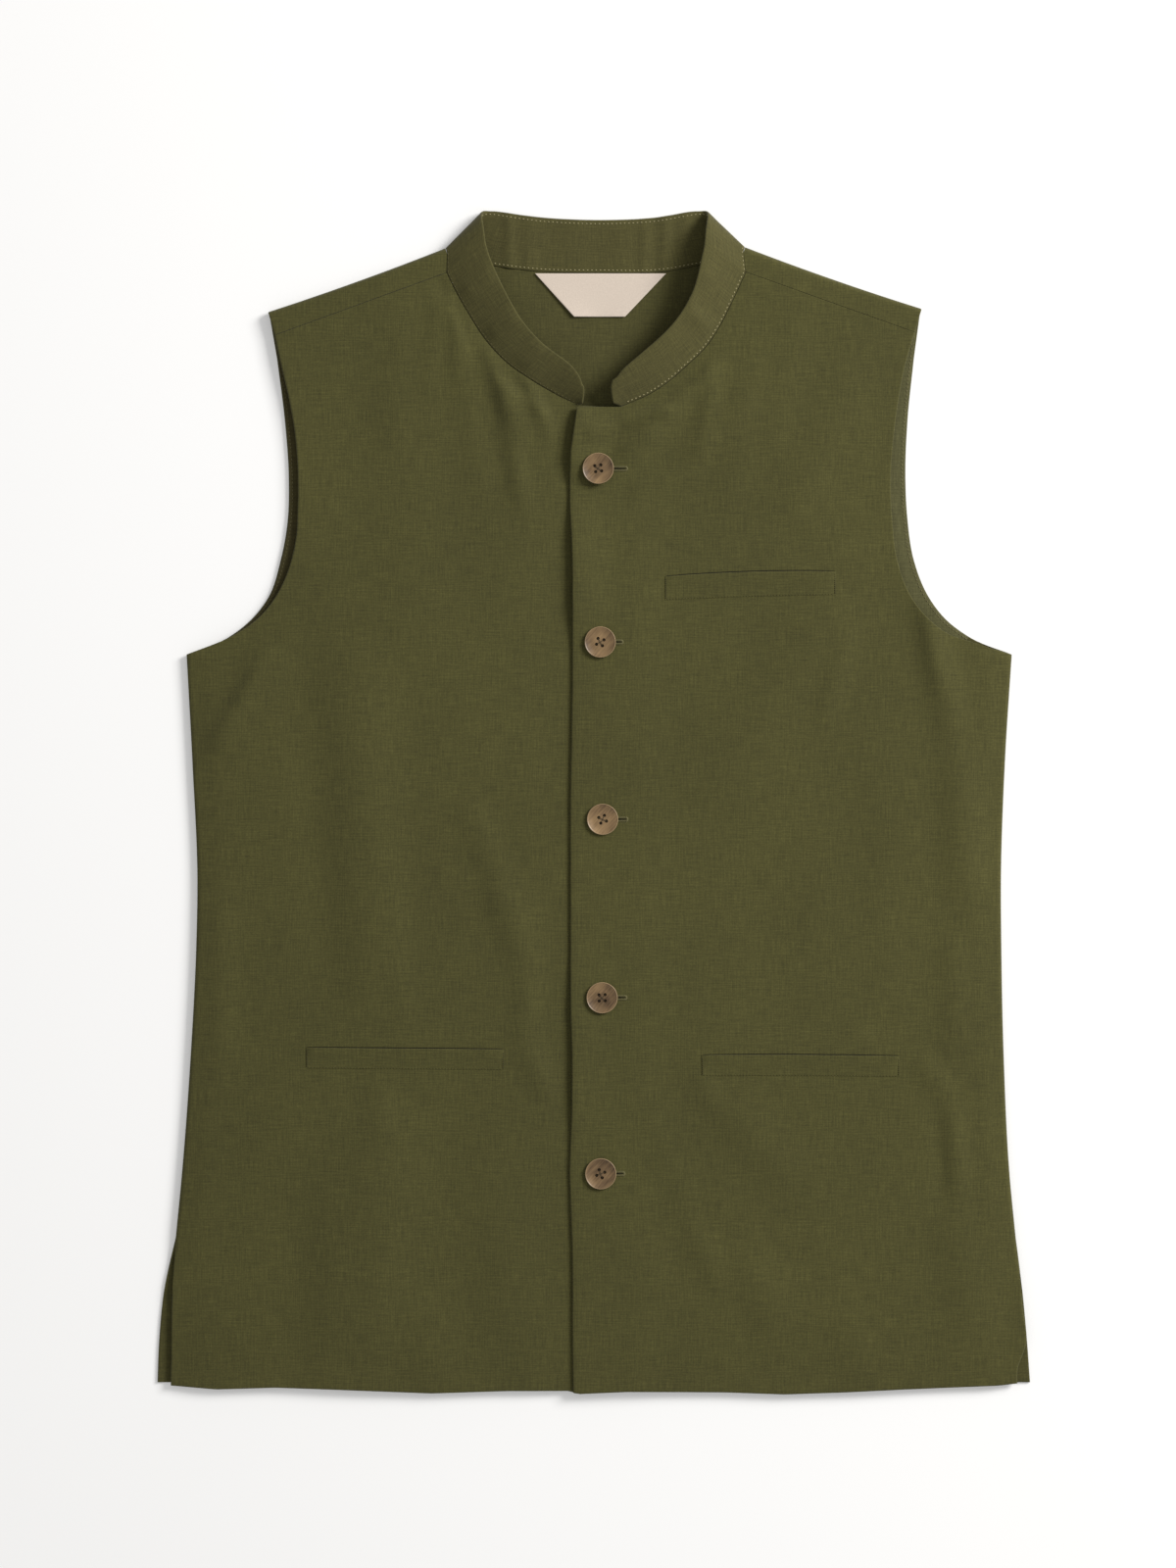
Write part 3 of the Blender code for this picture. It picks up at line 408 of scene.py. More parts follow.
def make_mesh(name, points, faces, uv=None):
    """A mesh from points in millimetres and faces, turned so that its volume is positive."""
    faces = np.asarray(faces)
    keep, faces = np.unique(faces, return_inverse=True)
    faces = faces.reshape(-1, 4)
    points = points[keep]
    a, b, c, d = (points[faces[:, i]] for i in range(4))
    volume = np.einsum("ij,ij->", a, np.cross(b, c)) + np.einsum("ij,ij->", a, np.cross(c, d))
    if volume < 0.0:
        faces = faces[:, ::-1]
    mesh = mesh_from(name, points, faces.tolist())
    if uv is not None:
        layer = mesh.uv_layers.new(name="cloth")
        layer.data.foreach_set("uv", (uv[keep][faces.ravel()] * MM).ravel())
    mesh.shade_smooth()
    mesh.set_sharp_from_angle(angle=math.radians(66.0))
    mesh.validate()
    return put_in_scene(name, mesh)


def make_sheet(name, outer, inner, used=None, uv=None):
    """Close an outer and an inner grid into one sheet. used marks the cells that exist."""
    rows, columns = outer.shape[:2]
    used = np.ones((rows - 1, columns - 1), dtype=bool) if used is None else used
    index = np.arange(rows * columns).reshape(rows, columns)
    a, b, c, d = index[:-1, :-1], index[:-1, 1:], index[1:, 1:], index[1:, :-1]
    count = rows * columns
    top = np.stack([a, b, c, d], axis=-1)[used]
    pad = np.pad(used, 1)
    faces = [top, top[:, ::-1] + count]
    around = ((a, b, pad[:-2, 1:-1]), (b, c, pad[1:-1, 2:]),
              (c, d, pad[2:, 1:-1]), (d, a, pad[1:-1, :-2]))
    for first, second, beyond in around:
        edge = used & ~beyond
        faces.append(np.stack([second[edge], first[edge], first[edge] + count, second[edge] + count],
                              axis=-1))
    points = np.vstack([outer.reshape(-1, 3), inner.reshape(-1, 3)])
    if uv is not None:
        uv = np.vstack([uv.reshape(-1, 2), uv.reshape(-1, 2)])
    return make_mesh(name, points, np.vstack(faces), uv)


def sheet_area(outer):
    """Area of a grid, in square metres."""
    across = np.diff(outer, axis=1)[:-1]
    up = np.diff(outer, axis=0)[:, :-1]
    return float(np.linalg.norm(np.cross(across, up), axis=2).sum()) * MM * MM


def finish_piece(thing, material, slot, *nodes):
    """Give a piece its material, hang it on the root and hide the solids that it stands for."""
    thing.data.materials.clear()
    thing.data.materials.append(material)
    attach(thing, "root")
    if nodes:
        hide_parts(*nodes)
    triangles = sum(len(face.vertices) - 2 for face in thing.data.polygons)
    print(thing.name, "has", triangles, "triangles")
    return thing


# %% [markdown]
# ## Linen
#
# Olive linen is a plain weave of uneven yarn. Close up it shows a fine grid, from a step away
# it shows slubs: short streaks along both yarns that are a little lighter or darker. Two
# stretched noises, one along each yarn, give the slubs, two waves give the grid, and a broad
# cloud gives the slight unevenness of the dye. The pattern follows the cut of each piece, so
# flat pieces read object coordinates and the collar reads its own map along its length. Every
# material needs the same few steps to add and link its nodes, so one small class holds them.

# %% A material and its nodes


class Graph:
    """A new material, with short ways to add nodes to its tree."""

    def __init__(self, name):
        self.material = bpy.data.materials.new(name)
        self.material.use_nodes = True
        self.tree = self.material.node_tree
        self.shader = self.tree.nodes["Principled BSDF"]

    def fill(self, node, inputs):
        """Give sockets a number or a colour, or link another node's output to them."""
        for place, value in inputs.items():
            if isinstance(value, bpy.types.NodeSocket):
                self.tree.links.new(value, node.inputs[place])
            else:
                node.inputs[place].default_value = value

    def add(self, kind, inputs, **settings):
        """A new node with its inputs filled and its settings made."""
        node = self.tree.nodes.new(kind)
        for key, value in settings.items():
            setattr(node, key, value)
        self.fill(node, inputs)
        return node

    def coordinates(self, kind):
        """Object coordinates, or the piece's own map by the name of UV."""
        return self.add("ShaderNodeTexCoord", {}).outputs[kind]

    def mark(self, name):
        """A value that the mesh carries, from 0 to 1."""
        return self.add("ShaderNodeAttribute", {}, attribute_name=name).outputs["Fac"]

    def noise(self, coordinates, size, detail=2.0):
        """Noise whose grain is size = (x, y, z) millimetres."""
        scale = tuple(1.0 / (value * MM) for value in size)
        mapping = self.add("ShaderNodeMapping", {"Scale": scale, "Vector": coordinates})
        inputs = {"Scale": 1.0, "Detail": detail, "Vector": mapping.outputs["Vector"]}
        return self.add("ShaderNodeTexNoise", inputs).outputs["Fac"]

    def math(self, operation, first, second):
        """Two numbers or sockets joined by an operation."""
        return self.add("ShaderNodeMath", {0: first, 1: second}, operation=operation).outputs[0]

    def weighted(self, *terms):
        """A sum of sockets, each times its own weight."""
        total = None
        for socket, weight in terms:
            product = self.math("MULTIPLY", socket, weight)
            total = product if total is None else self.math("ADD", total, product)
        return total

    def mix(self, factor, first, second):
        """The first colour where the factor is 0, and the second where it is 1."""
        return self.add("ShaderNodeMix", {0: factor, 6: first, 7: second}, data_type="RGBA").outputs[2]

    def colours(self, tone, stops):
        """Colours along a tone. stops holds rows of place, colour."""
        node = self.add("ShaderNodeValToRGB", {"Fac": tone})
        elements = node.color_ramp.elements
        elements[0].position, elements[1].position = stops[0][0], stops[-1][0]
        for place, colour in stops[1:-1]:
            elements.new(place)
        for element, (place, colour) in zip(elements, stops):
            element.color = (*colour, 1.0)
        return node.outputs["Color"]

    def bump(self, height, strength, distance):
        """Relief on the shader, distance millimetres deep."""
        inputs = {"Strength": strength, "Distance": distance * MM, "Height": height}
        self.fill(self.shader, {"Normal": self.add("ShaderNodeBump", inputs).outputs["Normal"]})


print("ways to add nodes:", sum(not name.startswith("_") for name in vars(Graph)))

# %% Linen materials
OLIVE_DEEP = (0.0352, 0.0330, 0.0079)
OLIVE_MID = (0.0568, 0.0530, 0.0130)
OLIVE_PALE = (0.0840, 0.0784, 0.0207)
YARN_PITCH = 0.62
SLUB_LENGTH = 13.0
SLUB_WIDTH = 0.62


def yarn_wave(graph, coordinates, direction):
    """One set of yarns: a sine across them, one period a yarn wide."""
    inputs = {"Scale": 2.0 * math.pi / (20.0 * YARN_PITCH * MM), "Distortion": 0.6, "Detail": 1.0,
              "Detail Scale": 0.4, "Vector": coordinates}
    wave = graph.add("ShaderNodeTexWave", inputs, wave_type="BANDS", bands_direction=direction,
                     wave_profile="SIN")
    return wave.outputs["Fac"]


def linen_material(name, along_map=False, shade=(1.0, 1.0, 1.0)):
    """Plain-weave linen. along_map reads the piece's own map; shade scales red, green and blue."""
    graph = Graph(name)
    coordinates = graph.coordinates("UV" if along_map else "Object")
    warp = graph.noise(coordinates, (SLUB_WIDTH, SLUB_LENGTH, 60.0))
    weft = graph.noise(coordinates, (SLUB_LENGTH, SLUB_WIDTH, 60.0))
    fine = graph.noise(coordinates, (1.3, 1.1, 60.0), 3.0)
    cloud = graph.noise(coordinates, (70.0, 110.0, 90.0), 3.0)
    slubs = graph.math("ADD", warp, weft)
    tone = graph.weighted((slubs, 0.33), (fine, 0.30), (cloud, 0.15))
    dyed = graph.colours(tone, [
        (place, tuple(channel * share for channel, share in zip(colour, shade)))
        for place, colour in ((0.39, OLIVE_DEEP), (0.57, OLIVE_MID), (0.75, OLIVE_PALE))
    ])
    graph.fill(graph.shader, {"Base Color": dyed})
    weave = graph.math("MULTIPLY", yarn_wave(graph, coordinates, "X"), yarn_wave(graph, coordinates, "Y"))
    graph.bump(graph.math("ADD", graph.math("MULTIPLY", weave, 0.35), slubs), 0.5, 0.12)
    graph.fill(graph.shader, {"Roughness": 0.86, "Specular IOR Level": 0.22,
                              "Sheen Weight": 0.10, "Sheen Roughness": 0.5})
    return graph.material


LINEN = linen_material("olive_linen")
LINEN_INSIDE = linen_material("olive_linen_inside", shade=(0.95, 0.94, 1.0))
LINEN_ALONG = linen_material("olive_linen_along_band", along_map=True, shade=(1.045, 1.01, 1.12))
print("linen yarn pitch:", YARN_PITCH, "mm")

# %% [markdown]
# ## The two fronts
#
# A front is cut as one panel from hem to shoulder. Its rows are straight lines from the side
# to the closing edge; the last columns at the side turn down as a quarter ellipse to meet the
# back at the side seam. Below the seam, at the vent, and above it, at the armhole, the edge is
# free and lies open, so the turn fades out there.

# %% Outline of a front
VENT_LENGTH = 88.0
NECK_LENGTH = 100.0
ARMHOLE_OPENS = 22.0
VENT_OPENS = 34.0


def curl_share(edge):
    """How far each row's edge curls to the side seam: 1 along the seam, 0 at vents and armholes."""
    armpit_y, vent_y = SIDE_SEAM[-1][0], SIDE_SEAM[0][0]
    above = np.linalg.norm(edge - edge[np.argmin(np.abs(edge[:, 1] - armpit_y))], axis=1)
    above = np.where(edge[:, 1] > armpit_y, above, 0.0)
    below = np.maximum(vent_y - edge[:, 1], 0.0)
    return ((1.0 - ramp(above / ARMHOLE_OPENS)) * (1.0 - ramp(below / VENT_OPENS)))[:, None]


def closing_stretch(side, low_y, high_y, stations):
    """A stretch of a front's closing edge, rising from low_y to high_y."""
    y = low_y + (high_y - low_y) * stations
    x = np.full_like(y, UNDERLAP_X)
    if side == 1:
        table = np.array(OVERLAP_EDGE)
        x = np.interp(y, table[:, 0], table[:, 1])
    return np.column_stack([x, y])


def front_outline(side):
    """The two ends of a front's rows: on its side and armhole, and on its closing and neckline."""
    armpit_y, vent_y = SIDE_SEAM[-1][0], SIDE_SEAM[0][0]
    vent = edge_stations(VENT_LENGTH, GRID_STEP, FRONT_WALL, end=False)
    seam = np.linspace(0.0, 1.0, 124)
    low = np.linspace(0.0, 1.0, 52)
    top = np.linspace(0.0, 1.0, 9)
    neck = edge_stations(NECK_LENGTH, 2.4, FRONT_WALL, start=False)
    high = np.concatenate([0.1 * top, 0.1 + 0.9 * neck[1:]])
    outside = join_stretches([
        side_stretch(FRONT_VENT, side, vent), side_stretch(SIDE_SEAM, side, seam),
        armhole_stretch(FRONT_ARMHOLE_LOW, side, low), armhole_stretch(FRONT_ARMHOLE_HIGH, side, high),
    ])
    closing = join_stretches([
        closing_stretch(side, FRONT_VENT[0][0], vent_y, vent),
        closing_stretch(side, vent_y, armpit_y, seam),
        closing_stretch(side, armpit_y, CLOSING_TOP_Y[side], low),
    ])
    neckline = smooth_path((NECK_LEFT, NECK_RIGHT)[side], neck)[:, :2]
    corner = closing[-1] + (neckline[0] - closing[-1]) * top[1:, None]
    return outside, np.vstack([closing, corner, neckline[1:]]), len(vent) - 1, len(closing) + len(corner)


print("rows of a front:", len(front_outline(0)[0]))

# %% The two fronts
SEWN_EDGE = 8.0
SIDE_CURL = 3.0
SIDE_FALL = 1.1
SIDE_FALL_WIDTH = 15.0
FRONT_SEAM_Z = 2.9
FRONT_WIDTH = 245.0
# millimetres counted on to an edge that is sewn, so that it isn't rounded
HELD = 50.0
CURL_ANGLES = np.radians(np.linspace(0.0, 90.0, 9))[:-1]
CLOSE_PLACES = np.array([0.8, 0.42, 0.18, 0.05, 0.0])


def front_grids(side):
    """Outer and inner points of a front: straight rows from its side to its closing edge.

    Near the side the outer face follows a quarter ellipse down to the seam, and the inner face
    a smaller one about the same centre.
    """
    outside, closing, vent_rows, neck_row = front_outline(side)
    run = closing - outside
    width = np.linalg.norm(run, axis=1)[:, None]
    curl = curl_share(outside)
    share = np.linspace(0.0, 1.0, int(FRONT_WIDTH / GRID_STEP))[:-1]
    turn = np.concatenate([CURL_ANGLES, np.full(len(share) + len(CLOSE_PLACES), math.pi / 2)])
    near = np.broadcast_to(SIDE_CURL * (1.0 - np.cos(CURL_ANGLES)), (len(width), len(CURL_ANGLES)))
    along = np.hstack([near, SIDE_CURL + share * (width - SIDE_CURL - 1.2), width - CLOSE_PLACES])
    middle = (outside + closing) / 2.0
    up = path_length(middle)[:, None]
    free_side = along + HELD * curl
    ends = np.minimum(up, SEWN_EDGE * (up[-1] - up))
    close = np.where(np.arange(len(up)) > neck_row, SEWN_EDGE, 1.0)[:, None] * (width - along)
    nearest = np.minimum(np.minimum(free_side, close), ends)
    shrink = edge_rounding(nearest, FRONT_WALL)
    lift = np.clip(1.0 - up / up[vent_rows], 0.0, 1.0) ** 2
    hem = np.array(FRONT_HEM)

    def layer(inset):
        """One face of the front, so far inside its outer surface."""
        place = along + curl * inset * np.cos(turn)
        plan = outside[:, None] + run[:, None] * (place / width)[:, :, None]
        x, y = plan[:, :, 0], plan[:, :, 1]
        y = y + lift * (np.interp(x[0], hem[:, 0], hem[:, 1]) - y[0])
        fall = curl * SIDE_FALL * (1.0 - ramp(along / SIDE_FALL_WIDTH))
        flat = front_z(x, y, side == 1) - fall - inset
        z = flat + curl * (FRONT_SEAM_Z + (flat - FRONT_SEAM_Z) * np.sin(turn) - flat)
        return np.stack([x, y, z], axis=2)

    return layer(shrink), layer(FRONT_WALL - shrink)


FRONT_NAMES = ("front_right", "front_left")
for side in SIDES:
    outer, inner = front_grids(side)
    piece = make_sheet(FRONT_NAMES[side] + "_cloth", outer, inner)
    finish_piece(piece, LINEN, "cloth", FRONT_NAMES[side])
    print(piece.name, "area", round(sheet_area(outer), 4), "square metres")

# %% [markdown]
# ## The back
#
# The back is one panel. Its shoulders are cut long, so that they fold over to the chest and the
# seam sits in front of the shoulder, as on many waistcoats. Straight rows run up to the
# shoulders, a few rows bend to meet the neck, and then only the columns over the shoulders go
# on, round a half circle and down the strip in front.

# %% Folds over the shoulders
FOLD_ANGLES = np.radians(np.linspace(-90.0, 90.0, 17))


def shoulder_lines(side):
    """A shoulder's fold at the arm and neck, its seam at the arm and neck, and the outward direction."""
    points = np.array(SHOULDER[side]).reshape(4, 2)
    along = points[1] - points[0]
    outward = np.array([-along[1], along[0]]) / np.linalg.norm(along)
    return points, outward * np.sign(outward[1])


def half_turn(low, high, out, angle):
    """Points on half ellipses from low to high, whose outermost points in plan are out."""
    middle = (low + high) / 2.0
    bulge = np.concatenate([out - middle[..., :2], np.zeros_like(middle[..., :1])], axis=-1)
    return middle + (high - low) / 2.0 * np.sin(angle) + bulge * np.cos(angle)


def shoulder_turn(side, foot, height, angle, inset):
    """Points on the fold over a shoulder. foot holds plan points where the fold leaves the table."""
    outward = shoulder_lines(side)[1]
    low = np.concatenate([foot, (height * 0.0 + inset)[..., None]], axis=-1)
    high = np.concatenate([foot, (height - inset)[..., None]], axis=-1)
    return half_turn(low, high, foot + outward * (height / 2.0 - inset)[..., None], angle)


print("shoulder fold, outward:", [shoulder_lines(side)[1].round(3).tolist() for side in SIDES])

# %% The back panel
BACK_WALL = 1.5
BACK_SEAM_Z = 2.6
SHOULDER_SAG = 0.9
SEAM_GAP = 0.1
# millimetres to an edge that is nowhere near
FAR = 99.0
BACK_CREASES = [
    # x0, y0, x1, y1, half_width, height
    (-172, 96, -96, 22, 13, 0.6), (168, 84, 104, -8, 15, 0.5), (-120, -60, -34, -96, 12, 0.5),
    (36, -40, 128, -84, 12, 0.6), (-86, -150, -104, -318, 17, 0.5), (22, -130, 4, -306, 15, 0.6),
    (112, -170, 138, -322, 16, 0.5), (-30, 170, 24, 84, 14, 0.5),
]


def back_grids():
    """Outer and inner points of the back, and the cells that exist."""
    vent = edge_stations(VENT_LENGTH, 5.0, BACK_WALL, end=False)
    sides = [join_stretches([
        side_stretch(BACK_VENT, side, vent), side_stretch(SIDE_SEAM, side, 60),
        armhole_stretch(BACK_ARMHOLE, side, 56),
    ]) for side in SIDES]
    neck = smooth_path(NECK_BACK, 44)[:, :2]
    last_left, last_right = sides[0][-1][0], sides[1][-1][0]
    to_left = np.linspace(last_left + SIDE_CURL, neck[0, 0], 27)[:-1]
    to_right = np.linspace(neck[-1, 0], last_right - SIDE_CURL, 27)[1:]
    middle = np.concatenate([to_left, neck[:, 0], to_right])
    share = (middle - middle[0]) / (middle[-1] - middle[0])
    count = len(CURL_ANGLES)
    first, last = count + len(to_left), count + len(to_left) + len(neck) - 1
    curl_in = SIDE_CURL * (1.0 - np.cos(CURL_ANGLES))
    run = sides[1] - sides[0]
    width = np.linalg.norm(run, axis=1)[:, None]
    rows, columns = len(width), len(share) + 2 * count
    turn = np.concatenate([CURL_ANGLES, np.full(len(share), math.pi / 2), CURL_ANGLES[::-1]])
    left_curl, right_curl = np.zeros((rows, columns)), np.zeros((rows, columns))
    left_curl[:, :count] = curl_share(sides[0])
    right_curl[:, -count:] = curl_share(sides[1])
    along = np.hstack([np.tile(curl_in, (rows, 1)), SIDE_CURL + share * (width - 2.0 * SIDE_CURL),
                       width - np.tile(curl_in[::-1], (rows, 1))])
    yoke_rows, strip_rows = 9, 6
    over_rows = len(FOLD_ANGLES) - 1 + strip_rows
    reach = np.vstack([along, np.tile(along[-1], (yoke_rows + over_rows, 1))])
    from_right = np.vstack([width - along, np.tile(width[-1] - along[-1], (yoke_rows + over_rows, 1))])
    held = np.zeros_like(reach)
    held[:rows] = HELD * (left_curl + right_curl)
    to_seam = np.full((rows + yoke_rows + over_rows, 1), FAR)
    strip_places = np.array([7.0, 3.0, 0.8, 0.4, 0.12, 0.0])
    to_seam[-strip_rows:, 0] = strip_places * SEWN_EDGE
    up = np.full_like(to_seam, FAR)
    up[:rows, 0] = path_length(sides[0])
    nearest = np.minimum(np.minimum(reach, from_right) + held, np.minimum(to_seam, up))
    shrink = edge_rounding(nearest, BACK_WALL)

    def layer(inset):
        """One face of the back: its body, its yoke and the two turned shoulders."""
        flat, rest = inset[:rows], inset[rows:]
        place = along + (left_curl - right_curl) * flat * np.cos(turn)
        plan = sides[0][:, None] + run[:, None] * (place / width)[:, :, None]
        rise = BACK_SEAM_Z - (BACK_SEAM_Z - flat) * np.sin(turn)
        body = np.dstack([plan, flat + (left_curl + right_curl) * (rise - flat)])
        body[:, :, 2] += bells(plan[:, :, 0], plan[:, :, 1], BACK_CREASES)
        feet = np.zeros((columns, 3))
        feet[first:last + 1, :2] = neck
        turned = np.zeros((over_rows, columns, 3))
        for side, wanted in ((0, slice(0, first + 1)), (1, slice(last, columns))):
            points, outward = shoulder_lines(side)
            x = body[-1, wanted, 0]
            foot_arm = points[0] - outward * shoulder_z(points[0][0]) / 2.0
            part = ((x - body[-1, -side, 0]) / (neck[-side, 0] - body[-1, -side, 0]))[:, None]
            sag = 4.0 * SHOULDER_SAG * part * (1.0 - part)
            foot = foot_arm + (neck[-side] - foot_arm) * part - outward * sag
            feet[wanted, :2] = foot
            height = shoulder_z(foot[:, 0])
            for row, angle in enumerate(FOLD_ANGLES[1:]):
                inside = rest[yoke_rows + row, wanted]
                turned[row, wanted] = shoulder_turn(side, foot, height, angle, inside)
            seam = points[2] + (points[3] - points[2]) * part + outward * SEAM_GAP
            depth = np.linalg.norm(foot - seam, axis=1)[:, None]
            for row, place in enumerate(strip_places):
                line = len(FOLD_ANGLES) - 1 + row
                turned[line, wanted, :2] = seam + (foot - seam) * (place / depth)
                turned[line, wanted, 2] = height - rest[yoke_rows + line, wanted]
        feet[:, 2] = rest[yoke_rows - 1]
        bend = np.linspace(0.0, 1.0, yoke_rows + 1)[1:, None, None]
        yoke = body[-1] + (feet - body[-1]) * bend
        return np.vstack([body, yoke, turned])

    used = np.ones((rows + yoke_rows + over_rows - 1, columns - 1), dtype=bool)
    used[rows + yoke_rows - 1:, first:last] = False
    return layer(shrink), layer(BACK_WALL - shrink), used


outer, inner, used = back_grids()
back_piece = finish_piece(make_sheet("back_cloth", outer, inner, used), LINEN, "cloth", "back")
back_piece.data.materials.append(LINEN_INSIDE)
face_kind = np.zeros(len(back_piece.data.polygons), dtype=int)
face_kind[used.sum():2 * used.sum()] = 1
back_piece.data.polygons.foreach_set("material_index", face_kind)
print("back area", round(sheet_area(outer), 4), "square metres")

# %% [markdown]
# ## The band collar
#
# A band collar is one strip, stiff with interfacing, sewn round the neckline with its front
# ends rounded. Laid flat it can't lie down: it leans in over the neck at the front, turns over
# at each shoulder and rests on the table behind. The band is a set of straight lines from its
# seam to its free edge, with a slight bow, which is how such a band is cut and how it bends.

# %% Seam and free edge of the collar
COLLAR_WALL = 1.9
COLLAR_GAP = 0.08
COLLAR_STEP = 1.6


def plan_normals(path, towards):
    """Unit directions across a plan path, on the side where the point towards lies."""
    along = np.gradient(path, axis=0)
    across = np.column_stack([-along[:, 1], along[:, 0]])
    across /= np.linalg.norm(across, axis=1)[:, None]
    return across * np.sign(np.sum(across * (np.array(towards) - path), axis=1))[:, None]


def collar_front_end(side):
    """Seam and free-edge points along a front's neckline, its shoulder strip and the shoulder fold."""
    table = smooth_path((NECK_LEFT, NECK_RIGHT)[side], 60)
    inward_plan = plan_normals(table[:, :2], NECK_CENTRE)
    seam_z = front_z(table[:, 0], table[:, 1], side == 1)
    seams = np.column_stack([table[:, :2] + inward_plan * COLLAR_GAP, seam_z])
    foot = np.array(NECK_BACK[-side][:2])
    points = shoulder_lines(side)[0]
    inward = (points[1] - points[0]) / np.linalg.norm(points[1] - points[0])
    gap = np.array([*inward, 0.0]) * COLLAR_GAP
    low_high = np.array(COLLAR_TURN[side][:6]).reshape(2, 3)
    out = np.array(COLLAR_TURN[side][6:])
    strip = np.linspace(0.0, 1.0, 8)[1:-1, None]
    start, stop = np.array([*points[3], SHOULDER_NECK_Z]), np.array([*foot, SHOULDER_NECK_Z])
    strip_seam = start + (stop - start) * strip + gap
    strip_edge = table[-1, 2:] + (low_high[1] - table[-1, 2:]) * strip
    strip_edge[:, 2:] += 3.2 * strip * (1.0 - strip)
    angles = FOLD_ANGLES[::-1, None]
    height = np.array(SHOULDER_NECK_Z)
    turn_seam = np.vstack([shoulder_turn(side, foot, height, angle, 0.0) for angle in FOLD_ANGLES[::-1]])
    turn_edge = half_turn(low_high[0], low_high[1], out, angles)
    return np.vstack([seams, strip_seam, turn_seam + gap]), np.vstack([table[:, 2:], strip_edge, turn_edge])


def collar_lines():
    """The collar's seam and free edge from its right front end round the back to its left one."""
    left_seam, left_edge = collar_front_end(0)
    right_seam, right_edge = collar_front_end(1)
    back = smooth_path(NECK_BACK, 60)[1:-1]
    behind = np.column_stack([back[:, 0], back[:, 1] + COLLAR_GAP, np.zeros(len(back))])
    seam = np.vstack([left_seam, behind, right_seam[::-1]])
    edge = np.vstack([left_edge, back[:, 2:], right_edge[::-1]])
    both = np.hstack([seam, edge])
    length = path_length(both, 3)[-1]
    both = read_path(both, edge_stations(length, COLLAR_STEP, COLLAR_WALL), 3)
    kernel = np.hanning(15)[1:-1] / np.hanning(15).sum()
    for column in range(3, 6):
        soft = np.convolve(np.pad(both[:, column], 6, mode="edge"), kernel, mode="valid")
        both[9:-9, column] = soft[9:-9]
    return both[:, :3], both[:, 3:], path_length(both, 3)


print("collar seam:", round(collar_lines()[2][-1], 1), "mm")

# %% Surface of the collar
COLLAR_BOW = 0.32
COLLAR_HEIGHT = 31.0
FREE_EDGE_WALL = 0.72
WRINKLES = [
    # place along the collar from its right front end, half_width, height
    (44, 7, 0.7), (70, 6, 0.9), (98, 7, 0.8), (352, 9, 0.5), (377, 5, 0.9),
]


def collar_surface():
    """The collar's outer face as a grid, its outward normals and its map along and across."""
    seam, edge, along = collar_lines()
    across = edge_stations(COLLAR_HEIGHT, COLLAR_STEP, COLLAR_WALL)
    spread = (edge - seam)[:, None]
    part = across[None, :, None]
    face = seam[:, None] + spread * part
    face[:, :, 2:] += COLLAR_BOW * spread[:, :, 2:] * part * (1.0 - part)
    normal = np.cross(np.gradient(face, axis=0), np.gradient(face, axis=1))
    normal /= np.linalg.norm(normal, axis=2)[:, :, None]
    normal *= -np.sign(normal[len(seam) // 2, 0, 2])
    width = np.linalg.norm(edge - seam, axis=1)[:, None]
    from_seam = width * across
    ends = np.minimum(along, along[-1] - along)[:, None]
    sewn = np.where(along < 0.35 * along[-1], 3.0, SEWN_EDGE)[:, None]
    nearest = np.minimum(np.minimum(sewn * from_seam, width - from_seam), ends)
    shrink = edge_rounding(nearest, COLLAR_WALL)
    wave = sum(height * np.exp(-((along - place) / half_width) ** 2)
               for place, half_width, height in WRINKLES)
    held = ramp(from_seam / 9.0) * ramp((width - from_seam) / 5.0)
    face += normal * (wave[:, None] * held)[:, :, None]
    wall = 1.0 - (1.0 - FREE_EDGE_WALL) * ramp(1.0 - (width - from_seam) / 3.0)
    cloth_map = np.dstack([np.broadcast_to(along[:, None], from_seam.shape), from_seam])
    outer_in, inner_in = wall * shrink, wall * (COLLAR_WALL - shrink)
    return face, normal, outer_in[:, :, None], inner_in[:, :, None], cloth_map


collar_face, collar_normal, outer_in, inner_in, cloth_map = collar_surface()
print("collar grid:", collar_face.shape[0], "by", collar_face.shape[1])

# %% The collar band
RIPPLES = [
    # x, half_width, height of soft waves in the band behind the neck
    (-50, 3.5, 0.75), (-38, 5, 0.35), (-12, 9, 0.40), (16, 8, 0.30), (30, 3.5, 0.60),
    (42, 3.5, 0.75), (54, 4, 0.50),
]
# the ripples behind the neck start and stop at these places in y and z
RIPPLE_Y = (290.0, 302.0)
RIPPLE_Z = (9.0, 5.0)

collar_outer = collar_face - collar_normal * outer_in
behind = between(collar_face[:, :, 1], *RIPPLE_Y) * between(collar_face[:, :, 2], *RIPPLE_Z)
ripple = sum(height * np.exp(-((collar_face[:, :, 0] - x) / half_width) ** 2)
             for x, half_width, height in RIPPLES)
ripple = (behind * ripple)[:, :, None]
collar_inner = collar_face - collar_normal * (inner_in + ripple)
collar_piece = make_sheet("collar_band", collar_outer, collar_inner, uv=cloth_map)
finish_piece(collar_piece, LINEN_ALONG, "cloth", "collar")
